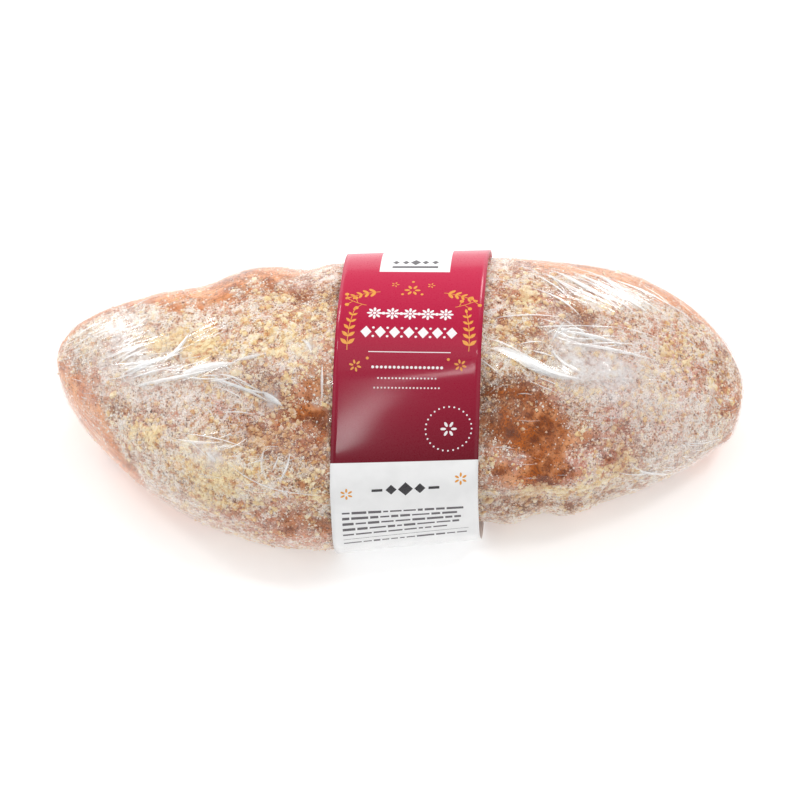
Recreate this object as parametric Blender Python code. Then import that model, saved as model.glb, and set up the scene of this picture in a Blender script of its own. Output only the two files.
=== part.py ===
"""A small nut stollen in a tight clear wrap, with a paper band round its middle.

Metres, +Z up. +X runs along the loaf, -Y is its front and z = 0 is the flat underside of the band.
The loaf is a sphere whose pole axis runs along X, shaped by named sizes; the band is a loft
between two loops that run round the loaf.
"""

import math

import bmesh
import bpy
import numpy as np
from mathutils import Matrix

MM = 0.001

# Driving sizes of the loaf
HALF_LENGTH = 99.0 * MM
RINGS = 68
SEGMENTS = 52
CROWDING = 0.4
CROWDED_SIDE = math.radians(60)
GAP = 0.3 * MM

# Driving sizes of the band
BAND_WIDTH = 41.0 * MM
BAND_PAPER = 0.4 * MM
BAND_PLACE = 3.8 * MM
BAND_SKEW = 0.055
BAND_LEAN = 0.048
BAND_HEART = 25.0 * MM
BAND_STEPS = 96
BAND_STRIPS = 2
STAND_OFF_BACK = 1.6 * MM
STAND_OFF_FRONT = 3.6 * MM
SQUEEZE = 0.7 * MM
SQUEEZE_FRONT = 0.9 * MM

# The underside is flat here, and its edge is rounded by this much
BASE_HEIGHT = BAND_PAPER + GAP
BASE_ROUNDING = 3.0 * MM
BASE_CUT = 0.35 * MM
BASE_DEPTH = 1.6

# Place along the half length, then in millimetres: middle line from the X axis, reach to the back,
# reach to the front, crown above the widest line, height of the widest line
STATIONS = (
    (-1.00, 16, 38, 35, 30.0, 25.0),
    (-0.85, 11, 40, 41, 32.0, 24.0),
    (-0.62, 4, 45, 43, 33.0, 23.0),
    (-0.40, 1, 47, 44, 34.0, 23.0),
    (-0.15, 1, 46, 43, 34.5, 23.0),
    (0.05, 3, 44, 42, 34.0, 23.0),
    (0.28, 6, 44, 39, 33.5, 22.5),
    (0.50, 9, 44, 43, 33.0, 22.0),
    (0.72, 10, 47, 44, 32.0, 22.0),
    (0.90, 10, 45, 45, 30.0, 22.0),
    (1.00, 9, 41, 46, 28.0, 21.0),
)

# Lines of the dough's fold: place, angle up the section from the front, height in millimetres
CREST = (
    (-1.0, 66, 0.0),
    (-0.7, 74, 0.9),
    (-0.45, 86, 1.4),
    (-0.2, 95, 1.4),
    (0.05, 92, 1.3),
    (0.28, 83, 1.5),
    (0.5, 68, 1.6),
    (0.7, 61, 1.2),
    (1.0, 52, 0.0),
)
VALLEY = (
    (-1.0, 40, 0.0),
    (-0.7, 54, -1.0),
    (-0.45, 61, -2.4),
    (-0.2, 58, -3.2),
    (0.05, 55, -3.2),
    (0.28, 54, -2.4),
    (0.5, 47, -1.4),
    (0.7, 42, -0.6),
    (1.0, 36, 0.0),
)
LOBE = (
    (-1.0, 20, 0.0),
    (-0.7, 34, 0.8),
    (-0.45, 42, 1.8),
    (-0.2, 42, 2.0),
    (0.05, 34, 2.0),
    (0.28, 27, 1.6),
    (0.5, 20, 1.2),
    (0.7, 18, 0.8),
    (1.0, 14, 0.0),
)
CREASE = (
    (-1.0, 10, 0.0),
    (-0.7, 22, -0.6),
    (-0.45, 22, -1.8),
    (-0.2, 17, -2.0),
    (0.05, 12, -1.6),
    (0.28, 8, -1.6),
    (0.5, 4, -1.2),
    (0.7, 2, -0.4),
    (1.0, 0, 0.0),
)
FOLD_LINES = ((CREST, 11), (VALLEY, 12), (LOBE, 11), (CREASE, 6))

# Humps and hollows: place, angle, reach along, reach in degrees, height in millimetres
SPOTS = (
    (-0.58, 150, 0.05, 25, -1.2),
    (-0.43, 150, 0.07, 30, 1.0),
    (-0.27, 150, 0.045, 25, -1.6),
    (0.83, 84, 0.05, 12, -1.8),
    (0.62, 40, 0.07, 10, -0.9),
    (0.33, -25, 0.035, 15, 1.5),
    (0.405, -22, 0.03, 15, -1.2),
    (0.50, -20, 0.045, 15, 1.3),
    (0.965, -20, 0.02, 22, 3.0),
)


def smooth(places, rows, column):
    """The column of a table at these places, by a cubic through its rows."""
    knots = np.array([row[0] for row in rows], float)
    values = np.array([row[column] for row in rows], float)
    slopes = np.gradient(values, knots)
    k = np.clip(np.searchsorted(knots, places) - 1, 0, len(knots) - 2)
    step = knots[k + 1] - knots[k]
    t = (places - knots[k]) / step
    ends = values[k] * (1 + 2 * t) * (1 - t) ** 2 + values[k + 1] * t**2 * (3 - 2 * t)
    bends = slopes[k] * t * (1 - t) ** 2 + slopes[k + 1] * t**2 * (t - 1)
    return ends + step * bends


def band_width_place(x, y, z):
    """How far along the loaf a point is from the band's middle."""
    return x - BAND_PLACE - BAND_SKEW * y + BAND_LEAN * (z - BAND_HEART)


def relief(place, degrees):
    """Height of the folds, humps and hollows above the plain section, in metres."""
    height = np.zeros_like(place)
    for line, reach in FOLD_LINES:
        off = (degrees - smooth(place, line, 1)) / reach
        height += smooth(place, line, 2) * np.exp(-0.5 * off**2)
    for place_at, degrees_at, reach_along, reach_round, high in SPOTS:
        along = (place - place_at) / reach_along
        around = (degrees - degrees_at) / reach_round
        height += high * np.exp(-0.5 * (along**2 + around**2))
    return height * MM


def loaf_points(place, ring, angle):
    """Points of the loaf from places on a unit sphere: along its axis, from its axis, and round it."""
    middle = smooth(place, STATIONS, 1) * MM
    back = smooth(place, STATIONS, 2) * MM
    front = smooth(place, STATIONS, 3) * MM
    crown = smooth(place, STATIONS, 4) * MM
    widest = smooth(place, STATIONS, 5) * MM
    forward = np.cos(angle)
    upward = np.sin(angle)
    reach = np.where(forward > 0, front, back)
    rise = np.where(upward > 0, crown * ring, BASE_DEPTH * widest * np.sqrt(ring))
    normal_y = -forward / reach
    normal_z = upward / np.where(upward > 0, crown, BASE_DEPTH * widest)
    normal = np.hypot(normal_y, normal_z)
    degrees = (np.degrees(angle) + 80) % 360 - 80
    x = HALF_LENGTH * place
    squeezed = np.clip((BAND_WIDTH / 2 - np.abs(x - BAND_PLACE)) / (6 * MM) + 0.5, 0, 1)
    squeeze = squeezed * (SQUEEZE + SQUEEZE_FRONT * np.clip(forward, 0, 1))
    height = relief(place, degrees) * np.sqrt(ring) - squeeze
    y = middle - reach * forward * ring + height * normal_y / normal
    z = widest + rise * upward + height * normal_z / normal
    z = 0.5 * (z + np.sqrt(z**2 + BASE_ROUNDING**2)) - BASE_CUT
    return x, y, np.maximum(z, 0) + BASE_HEIGHT


def put_in_scene(name, mesh, colour, roughness):
    """Adds the mesh as an object with its own material, smooth shaded."""
    material = bpy.data.materials.new(name)
    material.use_nodes = True
    shader = material.node_tree.nodes["Principled BSDF"]
    shader.inputs["Base Color"].default_value = (*colour, 1)
    shader.inputs["Roughness"].default_value = roughness
    mesh.materials.append(material)
    mesh.polygons.foreach_set("use_smooth", [True] * len(mesh.polygons))
    collection.objects.link(bpy.data.objects.new(name, mesh))


def make_loaf():
    """A sphere, its pole axis along the loaf, pulled to the loaf's shape."""
    shape = bmesh.new()
    bmesh.ops.create_uvsphere(shape, u_segments=SEGMENTS, v_segments=RINGS, radius=1)
    ball = np.array([vertex.co[:] for vertex in shape.verts])
    angle = np.arctan2(ball[:, 1], ball[:, 0])
    angle = angle - CROWDING * np.sin(angle - CROWDED_SIDE)
    ring = np.hypot(ball[:, 0], ball[:, 1])
    x, y, z = loaf_points(np.clip(ball[:, 2], -1, 1), ring, angle)
    for vertex, point in zip(shape.verts, np.stack([x, y, z], axis=1)):
        vertex.co = point
    bmesh.ops.recalc_face_normals(shape, faces=shape.faces)
    mesh = bpy.data.meshes.new("wrapped_loaf")
    shape.to_mesh(mesh)
    shape.free()
    return mesh


def loaf_reach(directions, first, last):
    """How far the loaf reaches in each direction of its section, over this part of the band's width."""
    turn, angle = np.meshgrid(np.linspace(0.3, 0.7, 161) * math.pi, np.linspace(0, 2 * math.pi, 241))
    x, y, z = loaf_points(-np.cos(turn), np.sin(turn), angle)
    along = band_width_place(x, y, z)
    under = (along >= first) & (along <= last)
    reaches = np.outer(np.cos(directions), y[under]) + np.outer(np.sin(directions), z[under] - BAND_HEART)
    return reaches.max(axis=1)


def loop_radius(turns, directions, reaches):
    """Radius at each turn of the convex loop that has these reaches."""
    facing = np.cos(turns[:, None] - directions[None, :])
    return np.where(facing > 0.02, reaches / np.maximum(facing, 0.02), 1.0).min(axis=1)


def make_band():
    """A closed strip of paper, lofted from its left loop to its right one."""
    turns = np.arange(BAND_STEPS) * 2 * math.pi / BAND_STEPS
    directions = np.arange(360) * math.pi / 180
    half = BAND_WIDTH / 2
    to_back = np.clip(np.cos(directions - math.radians(30)), 0, 1) ** 2
    to_front = np.clip(-np.cos(directions), 0, 1) ** 2
    left_reach = loaf_reach(directions, -half, 0) + STAND_OFF_BACK * to_back
    right_reach = loaf_reach(directions, half - 6 * MM, half)
    right_reach = right_reach + STAND_OFF_BACK * to_back + STAND_OFF_FRONT * to_front
    for share in (0.25, 0.5, 0.75, 1.0):
        middle = (2 * share - 1) * half
        here = loaf_reach(directions, middle - 4 * MM, min(middle + 4 * MM, half))
        right_reach = np.maximum(right_reach, (here - (1 - share) * left_reach) / share)
    loops = []
    for clearance in (GAP, GAP + BAND_PAPER):
        left = loop_radius(turns, directions, left_reach + clearance)
        right = loop_radius(turns, directions, right_reach + clearance)
        for strip in range(BAND_STRIPS + 1):
            share = strip / BAND_STRIPS
            radius = (1 - share) * left + share * right
            y = radius * np.cos(turns)
            z = radius * np.sin(turns) + BAND_HEART
            x = BAND_PLACE + (2 * share - 1) * half + BAND_SKEW * y - BAND_LEAN * (z - BAND_HEART)
            loops.append(np.stack([x, y, z], axis=1))
    inner = list(range(BAND_STRIPS + 1))
    outer = [BAND_STRIPS + 1 + strip for strip in inner]
    way_round = inner + outer[::-1]
    faces = []
    for here, there in zip(way_round, way_round[1:] + way_round[:1]):
        for step in range(BAND_STEPS):
            following = (step + 1) % BAND_STEPS
            corners = ((here, step), (there, step), (there, following), (here, following))
            faces.append([loop * BAND_STEPS + at for loop, at in corners])
    mesh = bpy.data.meshes.new("paper_band")
    mesh.from_pydata(np.concatenate(loops).tolist(), [], faces)
    shape = bmesh.new()
    shape.from_mesh(mesh)
    bmesh.ops.recalc_face_normals(shape, faces=shape.faces)
    shape.to_mesh(mesh)
    shape.free()
    return mesh


def centre_over_base(meshes):
    """Moves the meshes together, so that the origin is under the middle of their bounding box."""
    points = np.array([vertex.co[:] for mesh in meshes for vertex in mesh.vertices])
    low = points.min(axis=0)
    high = points.max(axis=0)
    move = Matrix.Translation((-(low[0] + high[0]) / 2, -(low[1] + high[1]) / 2, -low[2]))
    for mesh in meshes:
        mesh.transform(move)


for old in list(bpy.data.objects):
    bpy.data.objects.remove(old)

collection = bpy.data.collections.new("nut_stollen")
bpy.context.scene.collection.children.link(collection)

loaf = make_loaf()
band = make_band()
centre_over_base((loaf, band))
put_in_scene("wrapped_loaf", loaf, (0.78, 0.55, 0.38), 0.35)
put_in_scene("paper_band", band, (0.50, 0.03, 0.09), 0.4)
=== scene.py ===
"""Looks of the nut stollen: sugared crust, chopped nuts, tight clear film and printed paper band.

Metres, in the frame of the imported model. Shapes are numpy surfaces on grids; the loaf's and the
band's forms repeat the sizes that the solids are made from.
"""

import math
from itertools import combinations

import bpy
import numpy as np
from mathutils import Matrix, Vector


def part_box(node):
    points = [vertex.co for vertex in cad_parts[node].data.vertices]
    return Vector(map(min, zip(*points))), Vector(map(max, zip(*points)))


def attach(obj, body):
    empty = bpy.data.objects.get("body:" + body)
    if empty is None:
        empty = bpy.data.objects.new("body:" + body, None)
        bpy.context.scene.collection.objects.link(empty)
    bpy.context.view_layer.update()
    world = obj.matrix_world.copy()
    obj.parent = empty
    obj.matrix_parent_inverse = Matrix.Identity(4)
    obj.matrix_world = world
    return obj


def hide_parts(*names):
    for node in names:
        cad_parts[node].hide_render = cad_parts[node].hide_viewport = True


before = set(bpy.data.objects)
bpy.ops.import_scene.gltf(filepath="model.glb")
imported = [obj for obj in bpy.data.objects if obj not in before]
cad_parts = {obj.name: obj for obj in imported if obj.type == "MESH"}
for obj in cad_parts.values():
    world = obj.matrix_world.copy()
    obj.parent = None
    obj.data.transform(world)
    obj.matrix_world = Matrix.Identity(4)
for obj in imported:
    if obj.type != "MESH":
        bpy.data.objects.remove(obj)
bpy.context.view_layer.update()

MM = 0.001

# ---------------------------------------------------------------- sizes shared with the solids

HALF_LENGTH = 99.0 * MM
BAND_WIDTH = 41.0 * MM
BAND_PAPER = 0.4 * MM
BAND_PLACE = 3.8 * MM
BAND_SKEW = 0.055
BAND_LEAN = 0.048
BAND_HEART = 25.0 * MM
STAND_OFF_BACK = 1.6 * MM
STAND_OFF_FRONT = 3.6 * MM
SQUEEZE = 0.7 * MM
SQUEEZE_FRONT = 0.9 * MM
GAP = 0.3 * MM
BASE_HEIGHT = BAND_PAPER + GAP
BASE_ROUNDING = 3.0 * MM
BASE_CUT = 0.35 * MM
BASE_DEPTH = 1.6
SQUEEZE_EASE = 6 * MM
CROWDING = 0.4
CROWDED_SIDE = math.radians(60)

# Place along the half length, then in millimetres: middle line from the X axis, reach to the back,
# reach to the front, crown above the widest line, height of the widest line
STATIONS = (
    (-1.00, 16, 38, 35, 30.0, 25.0), (-0.85, 11, 40, 41, 32.0, 24.0), (-0.62, 4, 45, 43, 33.0, 23.0),
    (-0.40, 1, 47, 44, 34.0, 23.0), (-0.15, 1, 46, 43, 34.5, 23.0), (0.05, 3, 44, 42, 34.0, 23.0),
    (0.28, 6, 44, 39, 33.5, 22.5), (0.50, 9, 44, 43, 33.0, 22.0), (0.72, 10, 47, 44, 32.0, 22.0),
    (0.90, 10, 45, 45, 30.0, 22.0), (1.00, 9, 41, 46, 28.0, 21.0),
)

# Lines of the dough's fold: place, then for the crest, the valley, the lobe and the crease the angle up the
# section from the front and the height in millimetres
FOLD_ROWS = (
    (-1.0, 66, 0.0, 40, 0.0, 20, 0.0, 10, 0.0),
    (-0.7, 74, 0.9, 54, -1.0, 34, 0.8, 22, -0.6),
    (-0.45, 86, 1.4, 61, -2.4, 42, 1.8, 22, -1.8),
    (-0.2, 95, 1.4, 58, -3.2, 42, 2.0, 17, -2.0),
    (0.05, 92, 1.3, 55, -3.2, 34, 2.0, 12, -1.6),
    (0.28, 83, 1.5, 54, -2.4, 27, 1.6, 8, -1.6),
    (0.5, 68, 1.6, 47, -1.4, 20, 1.2, 4, -1.2),
    (0.7, 61, 1.2, 42, -0.6, 18, 0.8, 2, -0.4),
    (1.0, 52, 0.0, 36, 0.0, 14, 0.0, 0, 0.0),
)

# How many degrees each of the four lines reaches to its sides
FOLD_REACHES = (11, 12, 11, 6)

# Humps and hollows: place, angle, reach along, reach in degrees, height in millimetres
SPOTS = (
    (-0.58, 150, 0.05, 25, -1.2), (-0.43, 150, 0.07, 30, 1.0), (-0.27, 150, 0.045, 25, -1.6),
    (0.83, 84, 0.05, 12, -1.8), (0.62, 40, 0.07, 10, -0.9), (0.33, -25, 0.035, 15, 1.5),
    (0.405, -22, 0.03, 15, -1.2), (0.50, -20, 0.045, 15, 1.3), (0.965, -20, 0.02, 22, 3.0),
)


# ---------------------------------------------------------------- small tools


def smooth(places, rows, column):
    """The column of a table at these places, by a cubic through its rows."""
    knots = np.array([row[0] for row in rows], float)
    values = np.array([row[column] for row in rows], float)
    slopes = np.gradient(values, knots)
    k = np.clip(np.searchsorted(knots, places) - 1, 0, len(knots) - 2)
    step = knots[k + 1] - knots[k]
    t = (places - knots[k]) / step
    ends = values[k] * (1 + 2 * t) * (1 - t) ** 2 + values[k + 1] * t**2 * (3 - 2 * t)
    bends = slopes[k] * t * (1 - t) ** 2 + slopes[k + 1] * t**2 * (t - 1)
    return ends + step * bends


def noise(points, size, seed):
    """Smooth random values in -1..1: lattice values of this spacing, blended between their eight corners."""
    lattice = np.random.default_rng(seed).uniform(-1, 1, (32, 32, 32))
    scaled = np.asarray(points) / size + 7.3
    cell = np.floor(scaled).astype(int)
    part = scaled - cell
    part = part * part * (3 - 2 * part)
    total = 0
    for corner in range(8):
        offset = np.array([corner & 1, corner >> 1 & 1, corner >> 2 & 1])
        at = (cell + offset) % 32
        weight = np.prod(np.where(offset == 1, part, 1 - part), axis=-1)
        total = total + weight * lattice[at[..., 0], at[..., 1], at[..., 2]]
    return total


def rough_noise(points, size, seed, layers=3):
    """Noise of this size plus layers of half the size and 0.55 of the height each."""
    return sum(0.55**k * noise(points, size / 2**k, seed + k) for k in range(layers))


def step_up(value, low, high):
    """0 below low, 1 above high, and a smooth rise between."""
    t = np.clip((value - low) / (high - low), 0, 1)
    return t * t * (3 - 2 * t)


def blobs(place, degrees, rows):
    """Sum of soft blobs: place, angle, reach along, reach in degrees, strength."""
    total = np.zeros(np.broadcast(place, degrees).shape)
    for place_at, degrees_at, reach_along, reach_round, strength in rows:
        along = (place - place_at) / reach_along
        around = (degrees - degrees_at) / reach_round
        total += strength * np.exp(-0.5 * (along**2 + around**2))
    return total


def unit(vectors):
    """The vectors at length 1."""
    return vectors / np.maximum(np.linalg.norm(vectors, axis=-1, keepdims=True), 1e-12)


def put_in_scene(name, data):
    """An object of this name and data in the scene."""
    thing = bpy.data.objects.new(name, data)
    bpy.context.scene.collection.objects.link(thing)
    return thing


def add_piece(name, points, faces, material, attributes=None, shade_smooth=True):
    """A mesh object that rides on the root body, with per-point values for its material."""
    mesh = bpy.data.meshes.new(name)
    mesh.from_pydata(np.asarray(points).reshape(-1, 3).tolist(), [], faces)
    for key, values in (attributes or {}).items():
        layer = mesh.attributes.new(key, "FLOAT", "POINT")
        layer.data.foreach_set("value", np.asarray(values, np.float32).ravel())
    mesh.polygons.foreach_set("use_smooth", np.full(len(mesh.polygons), shade_smooth))
    mesh.materials.append(material)
    piece = put_in_scene(name, mesh)
    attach(piece, "root")
    return piece


def grid_faces(rows, columns):
    """Quads between neighbouring points of a grid that closes round its columns."""
    row, column = np.meshgrid(np.arange(rows - 1), np.arange(columns), indexing="ij")
    here = row * columns
    following = (column + 1) % columns
    corners = (here + column, here + following, here + columns + following, here + columns + column)
    return np.stack(corners, axis=-1).reshape(-1, 4)


def capped_faces(rows, columns):
    """Quads of a closed grid, and triangle fans to the two end points that follow its own points."""
    first = np.arange(columns)
    following = (first + 1) % columns
    last = (rows - 1) * columns
    tip = np.full(columns, rows * columns)
    start_fan = np.stack([tip, first, following], axis=1)
    end_fan = np.stack([tip + 1, last + following, last + first], axis=1)
    return grid_faces(rows, columns)[:, ::-1], np.concatenate([start_fan, end_fan])


def grid_normals(points):
    """Unit normals of a closed grid surface: the cross product of its two directions."""
    around = np.roll(points, -1, axis=1) - np.roll(points, 1, axis=1)
    return unit(np.cross(around, np.gradient(points, axis=0)))


# ---------------------------------------------------------------- the loaf's form


def relief(place, degrees):
    """Height of the folds, humps and hollows above the plain section, in metres."""
    height = np.zeros_like(place)
    for line, reach in enumerate(FOLD_REACHES):
        off = (degrees - smooth(place, FOLD_ROWS, 2 * line + 1)) / reach
        height += smooth(place, FOLD_ROWS, 2 * line + 2) * np.exp(-0.5 * off**2)
    return (height + blobs(place, degrees, SPOTS)) * MM


def section_degrees(angle):
    """The section's angle in degrees, from -80 under the front over the top to 280."""
    return (np.degrees(angle) + 80) % 360 - 80


def loaf_points(place, ring, angle):
    """Points of the loaf from places on a unit sphere: along its axis, from its axis, and round it."""
    middle, back, front, crown, widest = (smooth(place, STATIONS, k) * MM for k in range(1, 6))
    forward = np.cos(angle)
    upward = np.sin(angle)
    reach = np.where(forward > 0, front, back)
    rise = np.where(upward > 0, crown * ring, BASE_DEPTH * widest * np.sqrt(ring))
    normal_y = -forward / reach
    normal_z = upward / np.where(upward > 0, crown, BASE_DEPTH * widest)
    normal = np.hypot(normal_y, normal_z)
    x = HALF_LENGTH * place
    squeezed = np.clip((BAND_WIDTH / 2 - np.abs(x - BAND_PLACE)) / SQUEEZE_EASE + 0.5, 0, 1)
    squeeze = squeezed * (SQUEEZE + SQUEEZE_FRONT * np.clip(forward, 0, 1))
    height = relief(place, section_degrees(angle)) * np.sqrt(ring) - squeeze
    y = middle - reach * forward * ring + height * normal_y / normal
    z = widest + rise * upward + height * normal_z / normal
    z = 0.5 * (z + np.sqrt(z**2 + BASE_ROUNDING**2)) - BASE_CUT
    return np.stack([x, y, np.maximum(z, 0) + BASE_HEIGHT], axis=-1)


def loaf_grid(rings, segments, crowding=CROWDING):
    """Place, ring size and angle of each grid point, closer together on the upper front, poles left out."""
    turn = np.linspace(0, math.pi, rings + 2)[1:-1]
    angle = np.linspace(0, 2 * math.pi, segments, endpoint=False)
    angle = angle - crowding * np.sin(angle - CROWDED_SIDE)
    turn, angle = np.meshgrid(turn, angle, indexing="ij")
    return -np.cos(turn), np.sin(turn), angle


def frame_shift():
    """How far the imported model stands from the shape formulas, found from the loaf's box."""
    place, ring, angle = loaf_grid(400, 720, 0)
    points = loaf_points(place, ring, angle).reshape(-1, 3)
    low, high = (np.array(corner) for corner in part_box("wrapped_loaf"))
    shift = (low + high) / 2 - (points.min(axis=0) + points.max(axis=0)) / 2
    return shift * np.array([1, 1, 0])


SHIFT = frame_shift()


class LoafSkin:
    """The loaf's surface on a grid, with its normals; a skin raised by a height field is made from it."""

    def __init__(self, rings, segments):
        self.place, self.ring, self.angle = loaf_grid(rings, segments)
        self.degrees = section_degrees(self.angle)
        self.points = loaf_points(self.place, self.ring, self.angle) + SHIFT
        self.normals = -grid_normals(self.points)
        self.ends = np.array([[-HALF_LENGTH, 0, 0], [HALF_LENGTH, 0, 0]])
        self.ends[:, 1:] = self.points[[0, -1]].mean(axis=1)[:, 1:]
        self.ends[:, 0] += SHIFT[0]

    def raised(self, height):
        """Grid points moved along the normals, then the two end points that close the poles."""
        surface = self.points + self.normals * height[..., None]
        ends = self.ends.copy()
        ends[0, 0] -= height[0].mean()
        ends[1, 0] += height[-1].mean()
        return np.concatenate([surface.reshape(-1, 3), ends])

    def faces(self):
        """Quads of the grid and a fan of triangles round each pole, facing outwards."""
        quads, fans = capped_faces(*self.place.shape)
        return quads.tolist() + fans.tolist()

    def padded(self, values):
        """Values of the grid points with the two ends' values after them."""
        return np.concatenate([values.ravel(), [values[0].mean(), values[-1].mean()]])


# ---------------------------------------------------------------- material tools


def paint(red, green, blue):
    """A colour given as 0 to 255 on a screen, turned to linear values with full alpha."""
    shares = np.array([red, green, blue]) / 255
    linear = np.where(shares <= 0.04045, shares / 12.92, ((shares + 0.055) / 1.055) ** 2.4)
    return (*linear.tolist(), 1)


def new_material(name):
    """A node material, its tree and its Principled shader."""
    material = bpy.data.materials.new(name)
    material.use_nodes = True
    tree = material.node_tree
    return material, tree, tree.nodes["Principled BSDF"]


def plug(tree, value, socket):
    """Links an output to a socket, or sets the socket to a plain value."""
    if isinstance(value, bpy.types.NodeSocket):
        tree.links.new(value, socket)
    else:
        socket.default_value = value


def add_node(tree, kind, inputs=None, **settings):
    """A shader node with its settings, and its inputs by name or number."""
    node = tree.nodes.new("ShaderNode" + kind)
    for key, value in settings.items():
        setattr(node, key, value)
    for key, value in (inputs or {}).items():
        plug(tree, value, node.inputs[key])
    return node


def calc(tree, operation, first, second=0.0, clamp=False):
    """One step of arithmetic."""
    return add_node(tree, "Math", {0: first, 1: second}, operation=operation, use_clamp=clamp).outputs[0]


def times(tree, first, second, clamp=False):
    """The product of two values."""
    return calc(tree, "MULTIPLY", first, second, clamp)


def plus(tree, first, second):
    """The sum of two values."""
    return calc(tree, "ADD", first, second)


def minus(tree, first, second, clamp=False):
    """The first value less the second."""
    return calc(tree, "SUBTRACT", first, second, clamp)


def mix(tree, share, first, second, blend="MIX"):
    """Two colours mixed by a share."""
    inputs = {0: share, 6: first, 7: second}
    return add_node(tree, "Mix", inputs, data_type="RGBA", blend_type=blend).outputs[2]


def spread(tree, value, low, high, to_low=0.0, to_high=1.0):
    """A value carried from one range to another by a smooth step."""
    inputs = {"Value": value, "From Min": low, "From Max": high, "To Min": to_low, "To Max": to_high}
    return add_node(tree, "MapRange", inputs, interpolation_type="SMOOTHSTEP").outputs[0]


def spread_linear(tree, value, low, high):
    """A value carried from low..high to 0..1 in a straight line."""
    return add_node(tree, "MapRange", {"Value": value, "From Min": low, "From Max": high}).outputs[0]


def tones(tree, value, *colours):
    """A run of colours over 0 to 1, each with the share up to which it runs."""
    ramp = add_node(tree, "ValToRGB", {0: value})
    ramp.color_ramp.interpolation = "LINEAR"
    while len(ramp.color_ramp.elements) < len(colours):
        ramp.color_ramp.elements.new(0.5)
    for element, (position, colour) in zip(ramp.color_ramp.elements, colours):
        element.position = position
        element.color = paint(*colour)
    return ramp.outputs[0]


def reading(tree, name):
    """The per-point value of this name."""
    return add_node(tree, "Attribute", attribute_name=name).outputs["Fac"]


def object_place(tree):
    """Object coordinates, which are the frame's own metres on every piece."""
    return add_node(tree, "TexCoord").outputs["Object"]


def mottle(tree, place, size, detail=2.0, roughness=0.5):
    """Noise whose features have this size."""
    inputs = {"Vector": place, "Scale": 1 / size, "Detail": detail, "Roughness": roughness}
    return add_node(tree, "TexNoise", inputs).outputs[0]


def crumbs(tree, place, size):
    """Cells of this size: the distance from each cell's middle and a random value for each cell."""
    node = add_node(tree, "TexVoronoi", {"Vector": place, "Scale": 1 / size})
    value = add_node(tree, "SeparateColor", {0: node.outputs["Color"]})
    return node.outputs["Distance"], value.outputs[0], value.outputs[1]


def bump(tree, height, depth, strength=1.0):
    """A bump whose full height is this deep."""
    return add_node(tree, "Bump", {"Height": height, "Distance": depth, "Strength": strength}).outputs[0]


# ---------------------------------------------------------------- where sugar, nuts and browning lie

# Place, upper edge and lower edge of the sugared part, as angles up the section
SUGAR_EDGES = (
    (-1.00, 118, 66), (-0.88, 126, 36), (-0.75, 128, -12), (-0.60, 121, -42), (-0.45, 125, -54),
    (-0.28, 142, -58), (0.00, 146, -58), (0.28, 150, -48), (0.45, 138, -48), (0.60, 126, -52),
    (0.80, 128, -46), (0.92, 130, -24), (1.00, 126, 14),
)

# Soft patches: place, angle, reach along, reach in degrees, strength
SUGAR_PATCHES = (
    (-0.72, 86, 0.10, 18, 0.42), (-0.40, 96, 0.16, 9, 0.18), (-0.62, 72, 0.12, 7, 0.22),
    (-0.52, 40, 0.12, 12, 0.10), (0.64, 76, 0.13, 10, 0.42), (0.62, 104, 0.12, 8, 0.12),
    (0.74, 30, 0.08, 12, 0.22), (0.40, 9, 0.12, 5, 0.40), (0.36, 50, 0.08, 15, -0.74),
    (0.37, 22, 0.08, 7, -0.40), (0.38, 0, 0.10, 8, -0.20), (0.28, 66, 0.04, 14, -0.20),
    (-0.27, 62, 0.07, 10, -0.42), (-0.80, 116, 0.08, 10, 0.45), (0.35, 104, 0.09, 7, -0.32),
    (0.68, 22, 0.08, 14, -0.22), (0.97, 60, 0.04, 50, -0.50), (-0.31, 36, 0.09, 10, -0.12),
    (-0.30, -4, 0.14, 10, -0.18), (0.46, 108, 0.10, 9, -0.24), (0.42, 42, 0.03, 5, -0.35),
    (0.61, 40, 0.05, 6, -0.40), (-0.92, 50, 0.05, 16, -0.40), (-0.84, 30, 0.05, 10, -0.15),
    (-0.30, 64, 0.10, 6, -0.16), (-0.20, 86, 0.05, 6, -0.30), (0.34, 122, 0.10, 10, -0.12),
    (0.53, 100, 0.05, 5, -0.25), (-0.29, 116, 0.10, 10, -0.50), (-0.26, 6, 0.16, 6, -0.30),
    (-0.35, 81, 0.05, 6, -0.30), (-0.34, 53, 0.07, 8, -0.36), (0.34, 76, 0.05, 7, 0.35),
    (0.40, 21, 0.08, 9, -0.42), (-0.75, 28, 0.05, 8, 0.34), (-0.65, 16, 0.05, 8, 0.22),
    (-0.65, 42, 0.05, 6, 0.20), (-0.35, 37, 0.06, 7, 0.40), (-0.65, -11, 0.07, 7, 0.25),
    (0.75, 53, 0.07, 10, 0.32), (0.56, 70, 0.06, 8, 0.15), (0.46, 40, 0.05, 8, -0.35),
)
TOAST_PATCHES = (
    (0.36, 50, 0.10, 17, 0.60), (0.28, 68, 0.05, 13, 0.25), (0.61, 40, 0.06, 8, 0.35),
    (0.40, -6, 0.20, 8, 0.35), (-0.28, 60, 0.12, 11, 0.50), (-0.30, 118, 0.10, 8, 0.22),
    (0.53, 101, 0.06, 6, 0.40), (0.34, 110, 0.10, 14, 0.22), (-0.30, 8, 0.20, 8, 0.25),
    (-0.48, 134, 0.22, 12, 0.22), (0.65, 132, 0.25, 10, -0.16), (-0.92, 60, 0.06, 30, -0.10),
    (0.96, 50, 0.04, 60, 0.25), (-0.35, 81, 0.05, 6, 0.30), (-0.35, 52, 0.07, 8, 0.62),
    (0.33, 76, 0.05, 7, -0.45), (0.40, 20, 0.08, 8, 0.25), (-0.75, 28, 0.05, 8, -0.35),
    (-0.65, 42, 0.05, 6, -0.20), (-0.35, 36, 0.06, 6, -0.50), (0.75, 52, 0.05, 8, -0.15),
)
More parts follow.
